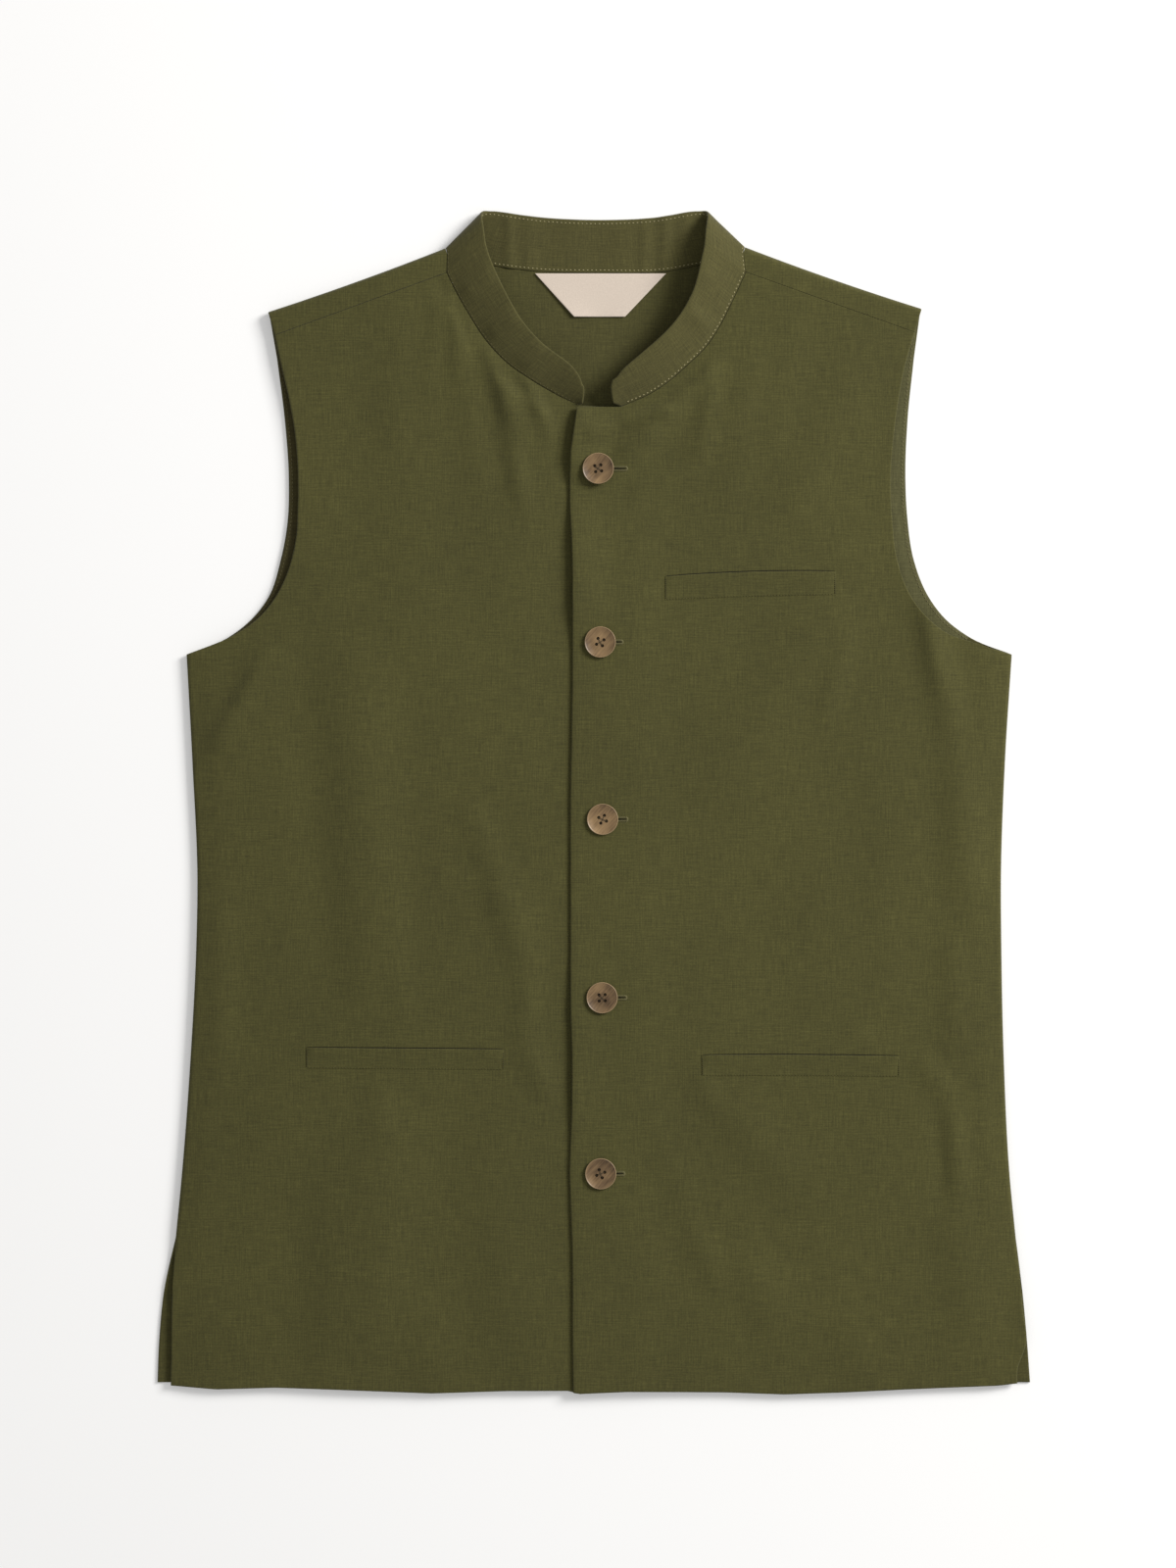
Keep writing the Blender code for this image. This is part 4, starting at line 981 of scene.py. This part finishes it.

# %% [markdown]
# ## Trim in cloth: facings, label and welts
#
# A facing finishes the back's armhole: a curved strip of a paler, greyer linen, turned inside
# and stitched along the edge. The facing at -X is a darker copy of the same cloth, which is
# painted shade. The label is a smooth woven ribbon, cut as a trapezoid and sewn in under the
# collar; it is left bare. A welt is a folded strip sewn down at its bottom and ends, with its
# folded top edge free over the pocket's mouth. The mouth is only a slit, so a thin lens of
# near-black cloth stands for it as painted shade in the opening.

# %% Plain materials


def plain_material(name, colour, roughness, specular=0.3, bump=0.0, grain=1.0):
    """One even colour with a slight grain in its surface."""
    graph = Graph(name)
    noise = graph.noise(graph.coordinates("Object"), (grain, grain, grain))
    deep, pale = (tuple(share * channel for channel in colour) + (1.0,) for share in (0.88, 1.12))
    graph.fill(graph.shader, {"Base Color": graph.mix(noise, deep, pale), "Roughness": roughness,
                              "Specular IOR Level": specular})
    if bump:
        graph.bump(noise, 0.6, bump)
    return graph.material


RIBBON = plain_material("beige_ribbon", (0.53, 0.455, 0.385), 0.7, bump=0.05, grain=0.8)
THREAD = plain_material("olive_thread", (0.300, 0.265, 0.140), 0.6, grain=0.5)
THREAD_MID = plain_material("mid_olive_thread", (0.150, 0.132, 0.062), 0.6, grain=0.5)
# a darker copy of the olive thread: painted shade, for stitches on the side away from the light
THREAD_PAINTED_SHADE = plain_material("olive_thread_painted_shade", (0.085, 0.075, 0.030), 0.7, grain=0.5)
# near-black cloth set in pocket mouths and buttonhole slits: painted shade
SLIT_SHADE = plain_material("painted_slit_shade", (0.012, 0.011, 0.006), 0.9, specular=0.1)


print("ribbon, threads and painted slit shade:", len((RIBBON, THREAD, THREAD_MID, THREAD_PAINTED_SHADE, SLIT_SHADE)))

# %% Armhole facings and label
TRIM_GAP = 0.12
FACING_WALL = 0.75
FACING_WIDTH = 16.3
FACING_SPAN = (0.7, 17.0)
LABEL_WALL = 0.55
LABEL_HEIGHT = 25.8
LABEL_CORNERS = ((-34.8, 312.1), (42.8, 312.1), (18.5, 286.4), (-11.7, 286.4))


def facing_edge(side):
    """The back's armhole edge that a facing follows, from the armpit to the shoulder fold."""
    points, outward = shoulder_lines(side)
    table = [row[2 * side:2 * side + 2] for row in BACK_ARMHOLE[1:]]
    table.append(tuple(points[0] - outward * 6.0))
    edge = smooth_path(table, 120)
    return edge, plan_normals(edge, (0.0, 190.0))


def to_ends(share, length):
    """Distance to the nearer end of a length, at shares of it from 0 to 1."""
    return np.minimum(share, 1.0 - share) * length


def lay_strip(name, plan, low, nearest, wall, material, slot, node):
    """A flat piece on a seat of height low, rounded by the distance to its nearest edge."""
    shrink = edge_rounding(nearest, wall)
    sheet = make_sheet(name, np.dstack([plan, low + wall - shrink]), np.dstack([plan, low + shrink]))
    return finish_piece(sheet, material, slot, node)


def make_facing(side, name):
    """The strip inside the armhole: its edge, and the same edge moved in by its width."""
    edge, inward = facing_edge(side)
    across = FACING_SPAN[0] + FACING_WIDTH * edge_stations(FACING_WIDTH, 1.3, FACING_WALL)
    plan = edge[:, None] + inward[:, None] * across[None, :, None]
    up = path_length(edge)
    from_side = np.minimum(across - FACING_SPAN[0], FACING_SPAN[1] - across)[None]
    nearest = np.minimum(from_side, np.minimum(up, up[-1] - up)[:, None])
    waver = 0.10 * (1.0 + np.sin(up / 9.0 + 0.6 * np.sin(up / 23.0)))
    ripple = waver[:, None] * np.sin(math.pi * from_side / FACING_SPAN[1])
    low = BACK_WALL + TRIM_GAP + ripple
    piece = lay_strip(name + "_cloth", plan, low, nearest, FACING_WALL, FACINGS[side], "cloth", name)


def make_label():
    """The label: a trapezoid with rounded edges, its lower corners lifted a little."""
    top_left, top_right, low_right, low_left = np.array(LABEL_CORNERS)
    up = edge_stations(LABEL_HEIGHT, 1.4, LABEL_WALL)[:, None]
    across = edge_stations(60.0, 1.6, LABEL_WALL)[None, :]
    left = low_left + (top_left - low_left) * up
    right = low_right + (top_right - low_right) * up
    plan = left[:, None] + (right - left)[:, None] * across[:, :, None]
    width = np.linalg.norm(right - left, axis=1)[:, None]
    nearest = np.minimum(to_ends(across, width), to_ends(up, LABEL_HEIGHT))
    lift = 0.8 * (1.0 - up) ** 2 * (0.7 + 0.3 * np.cos(2.0 * math.pi * across))
    lift = lift + 0.3 * (1.0 - across) ** 3
    low = BACK_WALL + TRIM_GAP + lift
    piece = lay_strip("label_ribbon", plan, low, nearest, LABEL_WALL, RIBBON, "label", "label")


# the first facing, at -X, is a darker copy of the second: painted shade
FACINGS = (linen_material("olive_linen_facing_painted_shade", shade=(0.74, 0.66, 0.72)),
           linen_material("olive_linen_facing", shade=(1.27, 1.30, 1.98)))
make_facing(1, "facing_armhole_left")
make_facing(0, "facing_armhole_right")
make_label()

# %% Pocket welts
WELT_WALL = 0.85
WELT_GAP = 0.05
WELTS = {
    # name: lower edge's middle x and y, length, height, rise along the length, front it lies on
    "welt_chest": (92.5, 120.2, 101.0, 14.0, 3.0, 1),
    "welt_lower_left": (122.2, -162.4, 117.0, 12.2, -0.6, 1),
    "welt_lower_right": (-111.4, -158.2, 117.0, 12.2, -1.0, 0),
}
WELT_BOWS = {"welt_chest": 1.3, "welt_lower_left": 0.4, "welt_lower_right": 0.0}


def welt_points(name, across, up):
    """Plan points and seat heights on a welt: across and up run from 0 to 1."""
    x, y, length, height, rise, side = WELTS[name]
    plan_x = x + (across - 0.5) * length + 0.0 * up
    bow = WELT_BOWS[name] * 4.0 * across * (1.0 - across)
    plan_y = y + (across - 0.5) * rise + up * height + bow * (0.4 + 0.6 * up)
    return plan_x, plan_y, front_z(plan_x, plan_y, side == 1)


def make_welt(name):
    """A welt: flush where it is sewn, at its bottom and ends, and fuller at its folded top."""
    length, height, side = WELTS[name][2], WELTS[name][3], WELTS[name][5]
    across = edge_stations(length, 1.5, WELT_WALL)[None, :]
    up = edge_stations(height, 0.9, WELT_WALL)[:, None]
    x, y, seat = welt_points(name, across, up)
    ends = to_ends(across, length)
    shrink = edge_rounding(np.minimum(ends, to_ends(up, height)), WELT_WALL)
    full = 0.12 + 0.88 * ramp(up) * ramp((ends + 1.5) / 6.0)
    low = seat + WELT_GAP
    outer = np.dstack([x, y, low + WELT_WALL * full - shrink * full])
    inner = np.dstack([x, y, low + 0.4 * shrink * full])
    piece = finish_piece(make_sheet(name + "_cloth", outer, inner), LINEN, "cloth", name)
    # the mouth: a thin lens of near-black cloth, painted shade in the pocket's opening
    across = np.linspace(0.0, 1.0, 90)[None, :]
    lens = np.linspace(-0.5, 0.5, 5)[:, None] * np.sin(math.pi * across) ** 0.35 * 0.72
    x, y, seat = welt_points(name, 0.004 + 0.992 * across, np.ones((5, 1)))
    y = y + 0.25 + lens
    top = seat + 0.16 - 0.3 * (lens / 0.72) ** 2
    mouth = make_sheet(name + "_mouth", np.dstack([x, y, top]), np.dstack([x, y, seat - 0.25]))
    finish_piece(mouth, SLIT_SHADE, "cloth")


for name in WELTS:
    make_welt(name)

# %% [markdown]
# ## Sewing
#
# Machine stitches are short dashes with a dip between them. Each is a small rounded bar that
# sinks at both ends, so a row of them looks sewn. All the bars of a row are worked out in one
# step, by broadcasting a single bar along the path. The collar is stitched round its seam and
# its top edge, and the facings along the armhole.

# %% Rounded bars
BAR_ALONG = np.array([0.0, 0.18, 0.5, 0.82, 1.0])
BAR_SIZE = np.array([0.35, 0.9, 1.0, 0.9, 0.35])
BAR_SINK = np.array([-0.9, 0.1, 0.45, 0.1, -0.9])
BAR_ANGLES = np.radians(np.arange(0.0, 360.0, 60.0))


def bars(start, stop, normal, radius):
    """Points of many rounded bars: start, stop and normal are arrays with one row a bar."""
    run = stop - start
    along = run / np.linalg.norm(run, axis=1)[:, None]
    across = np.cross(normal, along)
    centre = start[:, None] + run[:, None] * BAR_ALONG[None, :, None]
    centre = centre + normal[:, None] * (BAR_SINK * radius)[None, :, None]
    ring = across[:, None, None] * np.cos(BAR_ANGLES)[None, None, :, None]
    ring = ring + normal[:, None, None] * np.sin(BAR_ANGLES)[None, None, :, None]
    return centre[:, :, None] + ring * (BAR_SIZE * radius)[None, :, None, None]


def ring_quads(sides, rings):
    """Quads between rings of points that lie one after another, each ring closed on itself."""
    ring = np.arange(sides)
    after = (ring + 1) % sides
    low = np.arange(rings - 1)[:, None] * sides
    quads = np.stack([low + ring, low + after, low + sides + after, low + sides + ring], axis=-1)
    return quads.reshape(-1, 4)


def bar_faces(count):
    """Quads of count bars: six sides between five rings, and two quads at each end."""
    sides, rings = len(BAR_ANGLES), len(BAR_ALONG)
    first = np.array([(3, 2, 1, 0), (5, 4, 3, 0)])
    last = np.array([(0, 1, 2, 3), (0, 3, 4, 5)]) + (rings - 1) * sides
    single = np.vstack([ring_quads(sides, rings), first, last])
    return (single + (np.arange(count) * sides * rings)[:, None, None]).reshape(-1, 4)


def make_bars(name, start, stop, normal, radius, material):
    """A piece of many rounded bars, from start to stop, one row a bar."""
    points = bars(np.asarray(start), np.asarray(stop), np.asarray(normal), radius).reshape(-1, 3)
    piece = make_mesh(name, points, bar_faces(len(start)))
    return finish_piece(piece, material, "cloth")


print("faces of one bar:", len(bar_faces(1)))

# %% Stitch rows on collar and facings
UP = np.array([0.0, 0.0, 1.0])


def stitch_row(name, path, normal, pitch=2.0, length=1.3, radius=0.27, material=None):
    """Stitches along a 3-D path: one bar in each pitch, on the side that normal points to."""
    steps = path_length(path, 3)
    count = int(steps[-1] // pitch)
    begin = (np.arange(count) + 0.5) * pitch - length / 2.0

    def read(places, values):
        """The values at these distances along the path."""
        return np.column_stack([np.interp(places, steps, values[:, axis]) for axis in range(3)])

    facing = read(begin + length / 2.0, normal)
    facing /= np.linalg.norm(facing, axis=1)[:, None]
    start, stop = read(begin, path), read(begin + length, path)
    return make_bars(name, start, stop, facing, radius, material or THREAD)


def collar_row(name, from_seam, from_edge, span, side, radius, material, sink=0.0):
    """A stitch row on the collar: so far from its seam or edge, over a span of its length."""
    width = cloth_map[:, -1, 1]
    place = from_seam if from_seam else width - from_edge
    along = cloth_map[:, 0, 0]
    wanted = (along >= span[0] * along[-1]) & (along <= span[1] * along[-1])
    grid = collar_outer if side > 0 else collar_inner
    rows = np.flatnonzero(wanted)
    part = np.broadcast_to(place, width.shape)[rows]
    low = np.array([np.searchsorted(cloth_map[row, :, 1], value) for row, value in zip(rows, part)])
    low = np.clip(low, 1, cloth_map.shape[1] - 1)
    first, second = cloth_map[rows, low - 1, 1], cloth_map[rows, low, 1]
    mix = ((part - first) / (second - first))[:, None]
    path = grid[rows, low - 1] + (grid[rows, low] - grid[rows, low - 1]) * mix
    normal = collar_normal[rows, low] * side
    path = path - normal * sink
    path[:, 2] = np.maximum(path[:, 2], radius + 0.02)
    return stitch_row(name, path, normal, 2.5, 1.2, radius, material)


collar_row("stitches_collar_left", 1.3, 0.0, (0.68, 0.996), 1.0, 0.27, THREAD)
# the row at -X is in the darker thread: painted shade
collar_row("stitches_collar_right", 1.0, 0.0, (0.004, 0.32), 1.0, 0.18, THREAD_PAINTED_SHADE)
collar_row("stitches_collar_behind", 1.3, 0.0, (0.32, 0.68), 1.0, 0.2, THREAD_MID, sink=0.24)
collar_row("stitches_collar_seam_inside", 1.5, 0.0, (0.10, 0.90), -1.0, 0.25, THREAD)
collar_row("stitches_collar_edge_inside", 0.0, 2.3, (0.26, 0.74), -1.0, 0.23, THREAD)
for side, name in ((1, "facing_armhole_left"), (0, "facing_armhole_right")):
    edge, inward = facing_edge(side)
    plan = edge + inward * 2.1
    path = np.column_stack([plan, np.full(len(plan), BACK_WALL + TRIM_GAP + FACING_WALL + 0.06)])
    up = np.tile(UP, (len(plan), 1))
    # the facing at -X is stitched in the darker thread: painted shade
    stitch_row("stitches_" + name, path, up, 2.3, 1.5, 0.22, THREAD_MID if side else THREAD_PAINTED_SHADE)

# %% [markdown]
# ## Welt ends and buttonholes
#
# Close stitches hold each end of a welt, where a hand pulls most, and finer ones run along its
# foot. They are sunk, and their thread is darker than the cloth. A buttonhole is a slit with
# close stitches laid across its lips and fanned round its end. Only the end beyond each button
# shows, but the whole hole is worked.

# %% Welt ends
THREAD_SUNK = plain_material("sunk_olive_thread", (0.040, 0.036, 0.012), 0.8, grain=0.5)
THREAD_FOOT = plain_material("foot_olive_thread", (0.060, 0.055, 0.016), 0.8, grain=0.5)


def welt_row(name, row, across, up, above, *stitch):
    """One row of stitches on a welt, along shares of its length and height."""
    plan_x, plan_y, seat = welt_points(name, across, up)
    path = np.column_stack([plan_x, plan_y, seat + above])
    stitch_row("stitches_%s_%s" % (name, row), path, np.tile(UP, (len(path), 1)), *stitch)


def welt_ends():
    """Stitches down both ends of every welt and along its foot."""
    for name in WELTS:
        near = 0.6 / WELTS[name][2]
        for end, across in (("a", near), ("b", 1.0 - near)):
            welt_row(name, end, np.full(12, across), np.linspace(0.06, 0.94, 12), 0.3,
                     1.2, 0.95, 0.22, THREAD_SUNK)
        welt_row(name, "foot", np.linspace(near, 1.0 - near, 60), np.full(60, 0.035), 0.22,
                 1.8, 1.1, 0.15, THREAD_FOOT)


welt_ends()

# %% Buttonholes
THREAD_HOLE = plain_material("olive_buttonhole_thread", (0.098, 0.089, 0.034), 0.7, grain=0.5)
BUTTONS = [
    # x, y, turn in degrees, far end of the buttonhole
    (2.6, 196.3, 8, 20.4), (3.8, 93.9, -14, 17.8), (5.2, -10.7, 20, 20.6), (4.9, -116, 2, 20),
    (4.1, -219.9, -24, 18.8),
]


def buttonhole(number, x, y, last):
    """Stitches across both lips of a slit, fanned round its far end, and the slit itself as a near-black
    sheet of painted shade.
    """
    first, inner, reach = x - 6.0, 0.35, 1.7
    lips = np.arange(first, last - reach, 0.42)
    fan = np.radians(np.linspace(-80.0, 80.0, 13))

    def ends(away):
        """The ends of all stitches that lie so far away from the slit, on the cloth."""
        around = [np.column_stack([lips, np.full(len(lips), y + sign * away)]) for sign in (1.0, -1.0)]
        around.append(np.column_stack([last - reach + away * np.cos(fan), y + away * np.sin(fan)]))
        plan = np.vstack(around)
        return np.column_stack([plan, front_z(plan[:, 0], plan[:, 1], True) + 0.12])

    start, stop = ends(inner), ends(reach)
    normal = np.tile(UP, (len(start), 1))
    make_bars("buttonhole_%d_stitches" % number, start, stop, normal, 0.22, THREAD_HOLE)
    # the slit: a near-black sheet, painted shade in the opening
    across = np.linspace(first, last - reach, 24)[None, :]
    part = np.linspace(-1.0, 1.0, 5)[:, None]
    plan_x = across + 0.0 * part
    plan_y = y + part * 0.42 * np.sin(math.pi * np.linspace(0.03, 0.97, 24)) ** 0.3
    seat = front_z(plan_x, plan_y, True)
    slit = make_sheet("buttonhole_%d_slit" % number, np.dstack([plan_x, plan_y, seat + 0.12]),
                      np.dstack([plan_x, plan_y, seat - 0.2]))
    finish_piece(slit, SLIT_SHADE, "cloth")


for number, (x, y, turn, last) in enumerate(BUTTONS, start=1):
    buttonhole(number, x, y, last)

# %% [markdown]
# ## Buttons
#
# A horn button is turned on a lathe, so its form is one profile swept round: a flat foot, a
# rounded side, a thin raised rim and a shallow dish with a small flat floor for the four
# holes. Horn has fine streaks that run one way through the whole button, and the dish is
# polished, so it takes a soft highlight. The rim's paler colour is a painted highlight. A boolean
# cuts the four holes, as a drill does. Their walls are marked on the faces and coloured near
# black as painted shade, and thread strands in a near-black colour stand in them as more painted
# shade.

# %% Horn
STREAK_TURN = 0.7
HORN_DEEP = (0.060, 0.0335, 0.0135)
HORN_PALE = (0.245, 0.156, 0.072)
# the rim colour is a painted highlight, and the bore colour is painted shade in the holes
HORN_RIM_HIGHLIGHT = (0.30, 0.21, 0.115, 1.0)
HORN_BORE_SHADE = (0.010, 0.006, 0.003, 1.0)


def horn_material():
    """Brown horn: streaks that run one way, a painted highlight on its rim, painted shade on the walls of
    its holes, and a half gloss.
    """
    graph = Graph("brown_horn")
    mapping = graph.add("ShaderNodeMapping", {"Rotation": (0.0, 0.0, STREAK_TURN),
                                              "Vector": graph.coordinates("Object")})
    turned_place = mapping.outputs["Vector"]
    streaks = graph.noise(turned_place, (0.9, 9.0, 9.0), 4.0)
    cloud = graph.noise(turned_place, (9.0, 16.0, 16.0), 2.0)
    tone = graph.weighted((streaks, 0.38), (cloud, 0.62))
    body = graph.colours(tone, [(0.34, HORN_DEEP), (0.68, HORN_PALE)])
    rim_highlighted = graph.mix(graph.mark("rim"), body, HORN_RIM_HIGHLIGHT)
    bored = graph.mix(graph.mark("bore"), rim_highlighted, HORN_BORE_SHADE)
    graph.fill(graph.shader, {"Base Color": bored, "Roughness": 0.4, "Specular IOR Level": 0.42})
    return graph.material


HORN = horn_material()
print("horn nodes:", len(HORN.node_tree.nodes))

# %% A turned and drilled button
BUTTON_PROFILE = [
    # radius, height
    (0, 0), (7.3, 0), (8.4, 0.1), (8.95, 0.32), (9.15, 0.65), (9.2, 0.95), (9.16, 1.25),
    (9.05, 1.48), (8.92, 1.56), (8.8, 1.53), (8.64, 1.4), (8.4, 1.3), (7.9, 1.17), (7.2, 0.97),
    (6.4, 0.76), (5.6, 0.62), (4.8, 0.56), (4, 0.54), (2, 0.54), (1, 0.54), (0, 0.54),
]
BUTTON_SIDES = 96
HOLE_OFFSET = 1.78
HOLE_RADIUS = 0.95
DRILL_SIDES = 20
# the rim's painted highlight starts and stops at these radii, each with the width of its step
RIM_START = (8.7, 0.15)
RIM_STOP = (9.12, 0.1)
RIM_HIGHLIGHT_SHARE = 0.8


def button_blank():
    """The turned button: its profile swept round Z, closed by single points on the axis."""
    profile = np.array(BUTTON_PROFILE)
    angle = np.linspace(0.0, 2.0 * math.pi, BUTTON_SIDES, endpoint=False)
    rings = profile[1:-1]
    points = np.stack([rings[:, :1] * np.cos(angle), rings[:, :1] * np.sin(angle),
                       np.repeat(rings[:, 1:], BUTTON_SIDES, axis=1)], axis=2).reshape(-1, 3)
    points = np.vstack([points, [0.0, 0.0, profile[0, 1]], [0.0, 0.0, profile[-1, 1]]])
    faces = ring_quads(BUTTON_SIDES, len(rings)).tolist()
    pairs = ring_quads(BUTTON_SIDES, 2)[:, :2].tolist()
    last = (len(rings) - 1) * BUTTON_SIDES
    faces += [(b, a, len(points) - 2) for a, b in pairs]
    faces += [(last + a, last + b, len(points) - 1) for a, b in pairs]
    return mesh_from("button_blank", points, faces)


def drills():
    """Four round prisms, one through each hole."""
    angle = np.linspace(0.0, 2.0 * math.pi, DRILL_SIDES, endpoint=False)
    points, faces = [], []
    for x in (-HOLE_OFFSET, HOLE_OFFSET):
        for y in (-HOLE_OFFSET, HOLE_OFFSET):
            low = len(points) * DRILL_SIDES
            high = low + DRILL_SIDES
            circle = [x + HOLE_RADIUS * np.cos(angle), y + HOLE_RADIUS * np.sin(angle)]
            points += [np.column_stack([*circle, np.full(DRILL_SIDES, z)]) for z in (-3.0, 6.0)]
            faces += (ring_quads(DRILL_SIDES, 2) + low).tolist()
            faces += [range(high - 1, low - 1, -1), range(high, high + DRILL_SIDES)]
    return mesh_from("drill", np.vstack(points), faces)


def read_rows(items, name):
    """A place or centre of every vertex or face, one row each, in metres."""
    values = np.empty(len(items) * 3)
    items.foreach_get(name, values)
    return values.reshape(-1, 3)


def drilled_button():
    """The blank with its four holes cut through, as a finished mesh."""
    blank = put_in_scene("button_blank", button_blank())
    drill = put_in_scene("drill", drills())
    cut = blank.modifiers.new("holes", "BOOLEAN")
    cut.operation = "DIFFERENCE"
    cut.solver = "EXACT"
    cut.object = drill
    finished = bpy.data.meshes.new_from_object(blank.evaluated_get(bpy.context.evaluated_depsgraph_get()))
    bpy.data.objects.remove(blank)
    bpy.data.objects.remove(drill)
    points, centres = read_rows(finished.vertices, "co"), read_rows(finished.polygons, "center")
    radius = np.hypot(points[:, 0], points[:, 1]) / MM
    away = np.hypot(*(np.abs(centres[:, axis]) / MM - HOLE_OFFSET for axis in (0, 1)))
    # the rim mark places the painted highlight, and the bore mark places painted shade on the hole walls
    within = ramp((radius - RIM_START[0]) / RIM_START[1])
    rim = RIM_HIGHLIGHT_SHARE * within * (1.0 - ramp((radius - RIM_STOP[0]) / RIM_STOP[1]))
    bore = (away < HOLE_RADIUS).astype(float)
    for name, domain, values in (("rim", "POINT", rim), ("bore", "FACE", bore)):
        finished.attributes.new(name, "FLOAT", domain).data.foreach_set("value", values)
    finished.shade_smooth()
    finished.set_sharp_from_angle(angle=math.radians(40.0))
    return finished


button_mesh = drilled_button()
print("faces of a button:", len(button_mesh.polygons))

# %% Buttons and their thread
BUTTON_SEAT = 0.12
SEAT_RADIUS = 7.8
THREAD_SHADE = plain_material("thread_in_shade", (0.050, 0.036, 0.018), 0.8, grain=0.5)
# near-black thread for the strands in the holes: painted shade
HOLE_SHADE_THREAD = plain_material("thread_painted_shade_in_holes", (0.014, 0.009, 0.005), 0.9, specular=0.1, grain=0.5)


def turned(points, angle):
    """Points turned about Z."""
    cosine, sine = math.cos(angle), math.sin(angle)
    return points @ np.array([[cosine, sine, 0.0], [-sine, cosine, 0.0], [0.0, 0.0, 1.0]])


def place_button(number, x, y, turn):
    """One button on the overlap, its crossed thread, and near-black strands that fill its holes as painted
    shade.
    """
    rim = np.linspace(0.0, 2.0 * math.pi, 16, endpoint=False)
    under = front_z(x + SEAT_RADIUS * np.cos(rim), y + SEAT_RADIUS * np.sin(rim), True)
    seat = float(under.max()) + BUTTON_SEAT
    mesh = button_mesh.copy()
    points = turned(read_rows(mesh.vertices, "co"), turn) + np.array([x, y, seat]) * MM
    mesh.vertices.foreach_set("co", points.ravel())
    mesh.update()
    button = put_in_scene("button_%d_horn" % number, mesh)
    finish_piece(button, HORN, "button", "button_%d" % number)
    reach, shift = HOLE_OFFSET * 0.95, 0.13
    pairs = [((-reach, -reach + s), (reach, reach + s)) for s in (-shift, shift)]
    pairs += [((-reach, reach + s), (reach, -reach + s)) for s in (-shift, shift)]
    ends = np.array(pairs)
    heights = np.array([0.02, 0.02, 0.24, 0.24])[:, None] + 0.62
    start, stop = (turned(np.column_stack([ends[:, place], heights]), turn) + (x, y, seat)
                   for place in (0, 1))
    make_bars("button_%d_thread" % number, start, stop, np.tile(UP, (4, 1)), 0.10, THREAD_SHADE)
    # near-black strands in each hole: painted shade
    holes = np.array([(side_x * HOLE_OFFSET + shift_x, side_y * HOLE_OFFSET + shift_y)
                      for side_x in (-1, 1) for side_y in (-1, 1)
                      for shift_x in (-0.4, 0.4) for shift_y in (-0.4, 0.4)])
    low, high = (turned(np.column_stack([holes, np.full(len(holes), z)]), turn) + (x, y, seat)
                 for z in (-0.2, 0.4))
    normal = np.tile((1.0, 0.0, 0.0), (len(holes), 1))
    make_bars("button_%d_strands" % number, low, high, normal, 0.42, HOLE_SHADE_THREAD)


for number, (x, y, turn, last) in enumerate(BUTTONS, start=1):
    place_button(number, x, y, math.radians(turn))
print("buttons:", len(BUTTONS), "each", len(button_mesh.polygons), "faces")

# %% [markdown]
# ## Camera, light and floor
#
# The jacket is seen from straight above with a long lens. A broad soft light stands at the
# upper right, so that the left sides of folds, collar and buttons fall into soft shade, and a
# pale sky fills the rest.

# %% Stage
FRAME_CENTRE = (-3.4, 10.15)
FRAME_LENGTH = 928.0
LENS = 100.0
SENSOR = 36.0
FLOOR_REACH = 6000.0
FLOOR_LEVEL = -0.05
FLOOR_COLOUR = (0.635, 0.635, 0.635, 1.0)
FLOOR_GLOW = 0.24
KEY_PLACE = (2.49, 1.44, 1.69)
KEY_SIZE = 1.25
KEY_POWER = 159.0
KEY_COLOUR = (1.0, 0.985, 0.96)
SKY_COLOUR = (1.0, 0.99, 0.975, 1.0)
SKY_STRENGTH = 0.53


def add_stage():
    """A pale floor a hair under the cloth."""
    corners = [(x * FLOOR_REACH, y * FLOOR_REACH, FLOOR_LEVEL)
               for x, y in ((-1, -1), (1, -1), (1, 1), (-1, 1))]
    mesh = mesh_from("floor", corners, [(0, 1, 2, 3)])
    floor = put_in_scene("floor", mesh)
    graph = Graph("pale_floor")
    graph.fill(graph.shader, {
        "Base Color": FLOOR_COLOUR, "Emission Color": (1.0, 1.0, 1.0, 1.0),
        "Emission Strength": FLOOR_GLOW, "Roughness": 0.9, "Specular IOR Level": 0.1,
    })
    mesh.materials.append(graph.material)


def add_light(name, place, aim, size, power, colour):
    """A square soft light at place, turned towards aim. Both are in metres."""
    data = bpy.data.lights.new(name, "AREA")
    data.size = size
    data.energy = power
    data.color = colour
    lamp = put_in_scene(name, data)
    lamp.location = place
    lamp.rotation_euler = (Vector(aim) - Vector(place)).to_track_quat("-Z", "Y").to_euler()


def add_camera():
    """A long lens straight above the jacket."""
    data = bpy.data.cameras.new("camera")
    data.lens = LENS
    data.sensor_width = SENSOR
    data.clip_end = 100.0
    camera = put_in_scene("camera", data)
    distance = FRAME_LENGTH * LENS / SENSOR
    camera.location = (FRAME_CENTRE[0] * MM, FRAME_CENTRE[1] * MM, distance * MM)
    bpy.context.scene.camera = camera
    print("camera", round(distance), "mm above the table")


add_stage()
add_camera()
add_light("key_upper_right", KEY_PLACE, (0.0, 0.0, 0.0), KEY_SIZE, KEY_POWER, KEY_COLOUR)
world = bpy.data.worlds.new("sky")
bpy.context.scene.world = world
world.use_nodes = True
sky = world.node_tree.nodes["Background"]
sky.inputs["Color"].default_value = SKY_COLOUR
sky.inputs["Strength"].default_value = SKY_STRENGTH
bpy.context.scene.view_settings.view_transform = "Standard"

# %% [markdown]
# The dressed model has to stay within the solids' box, give or take the nap of the cloth.
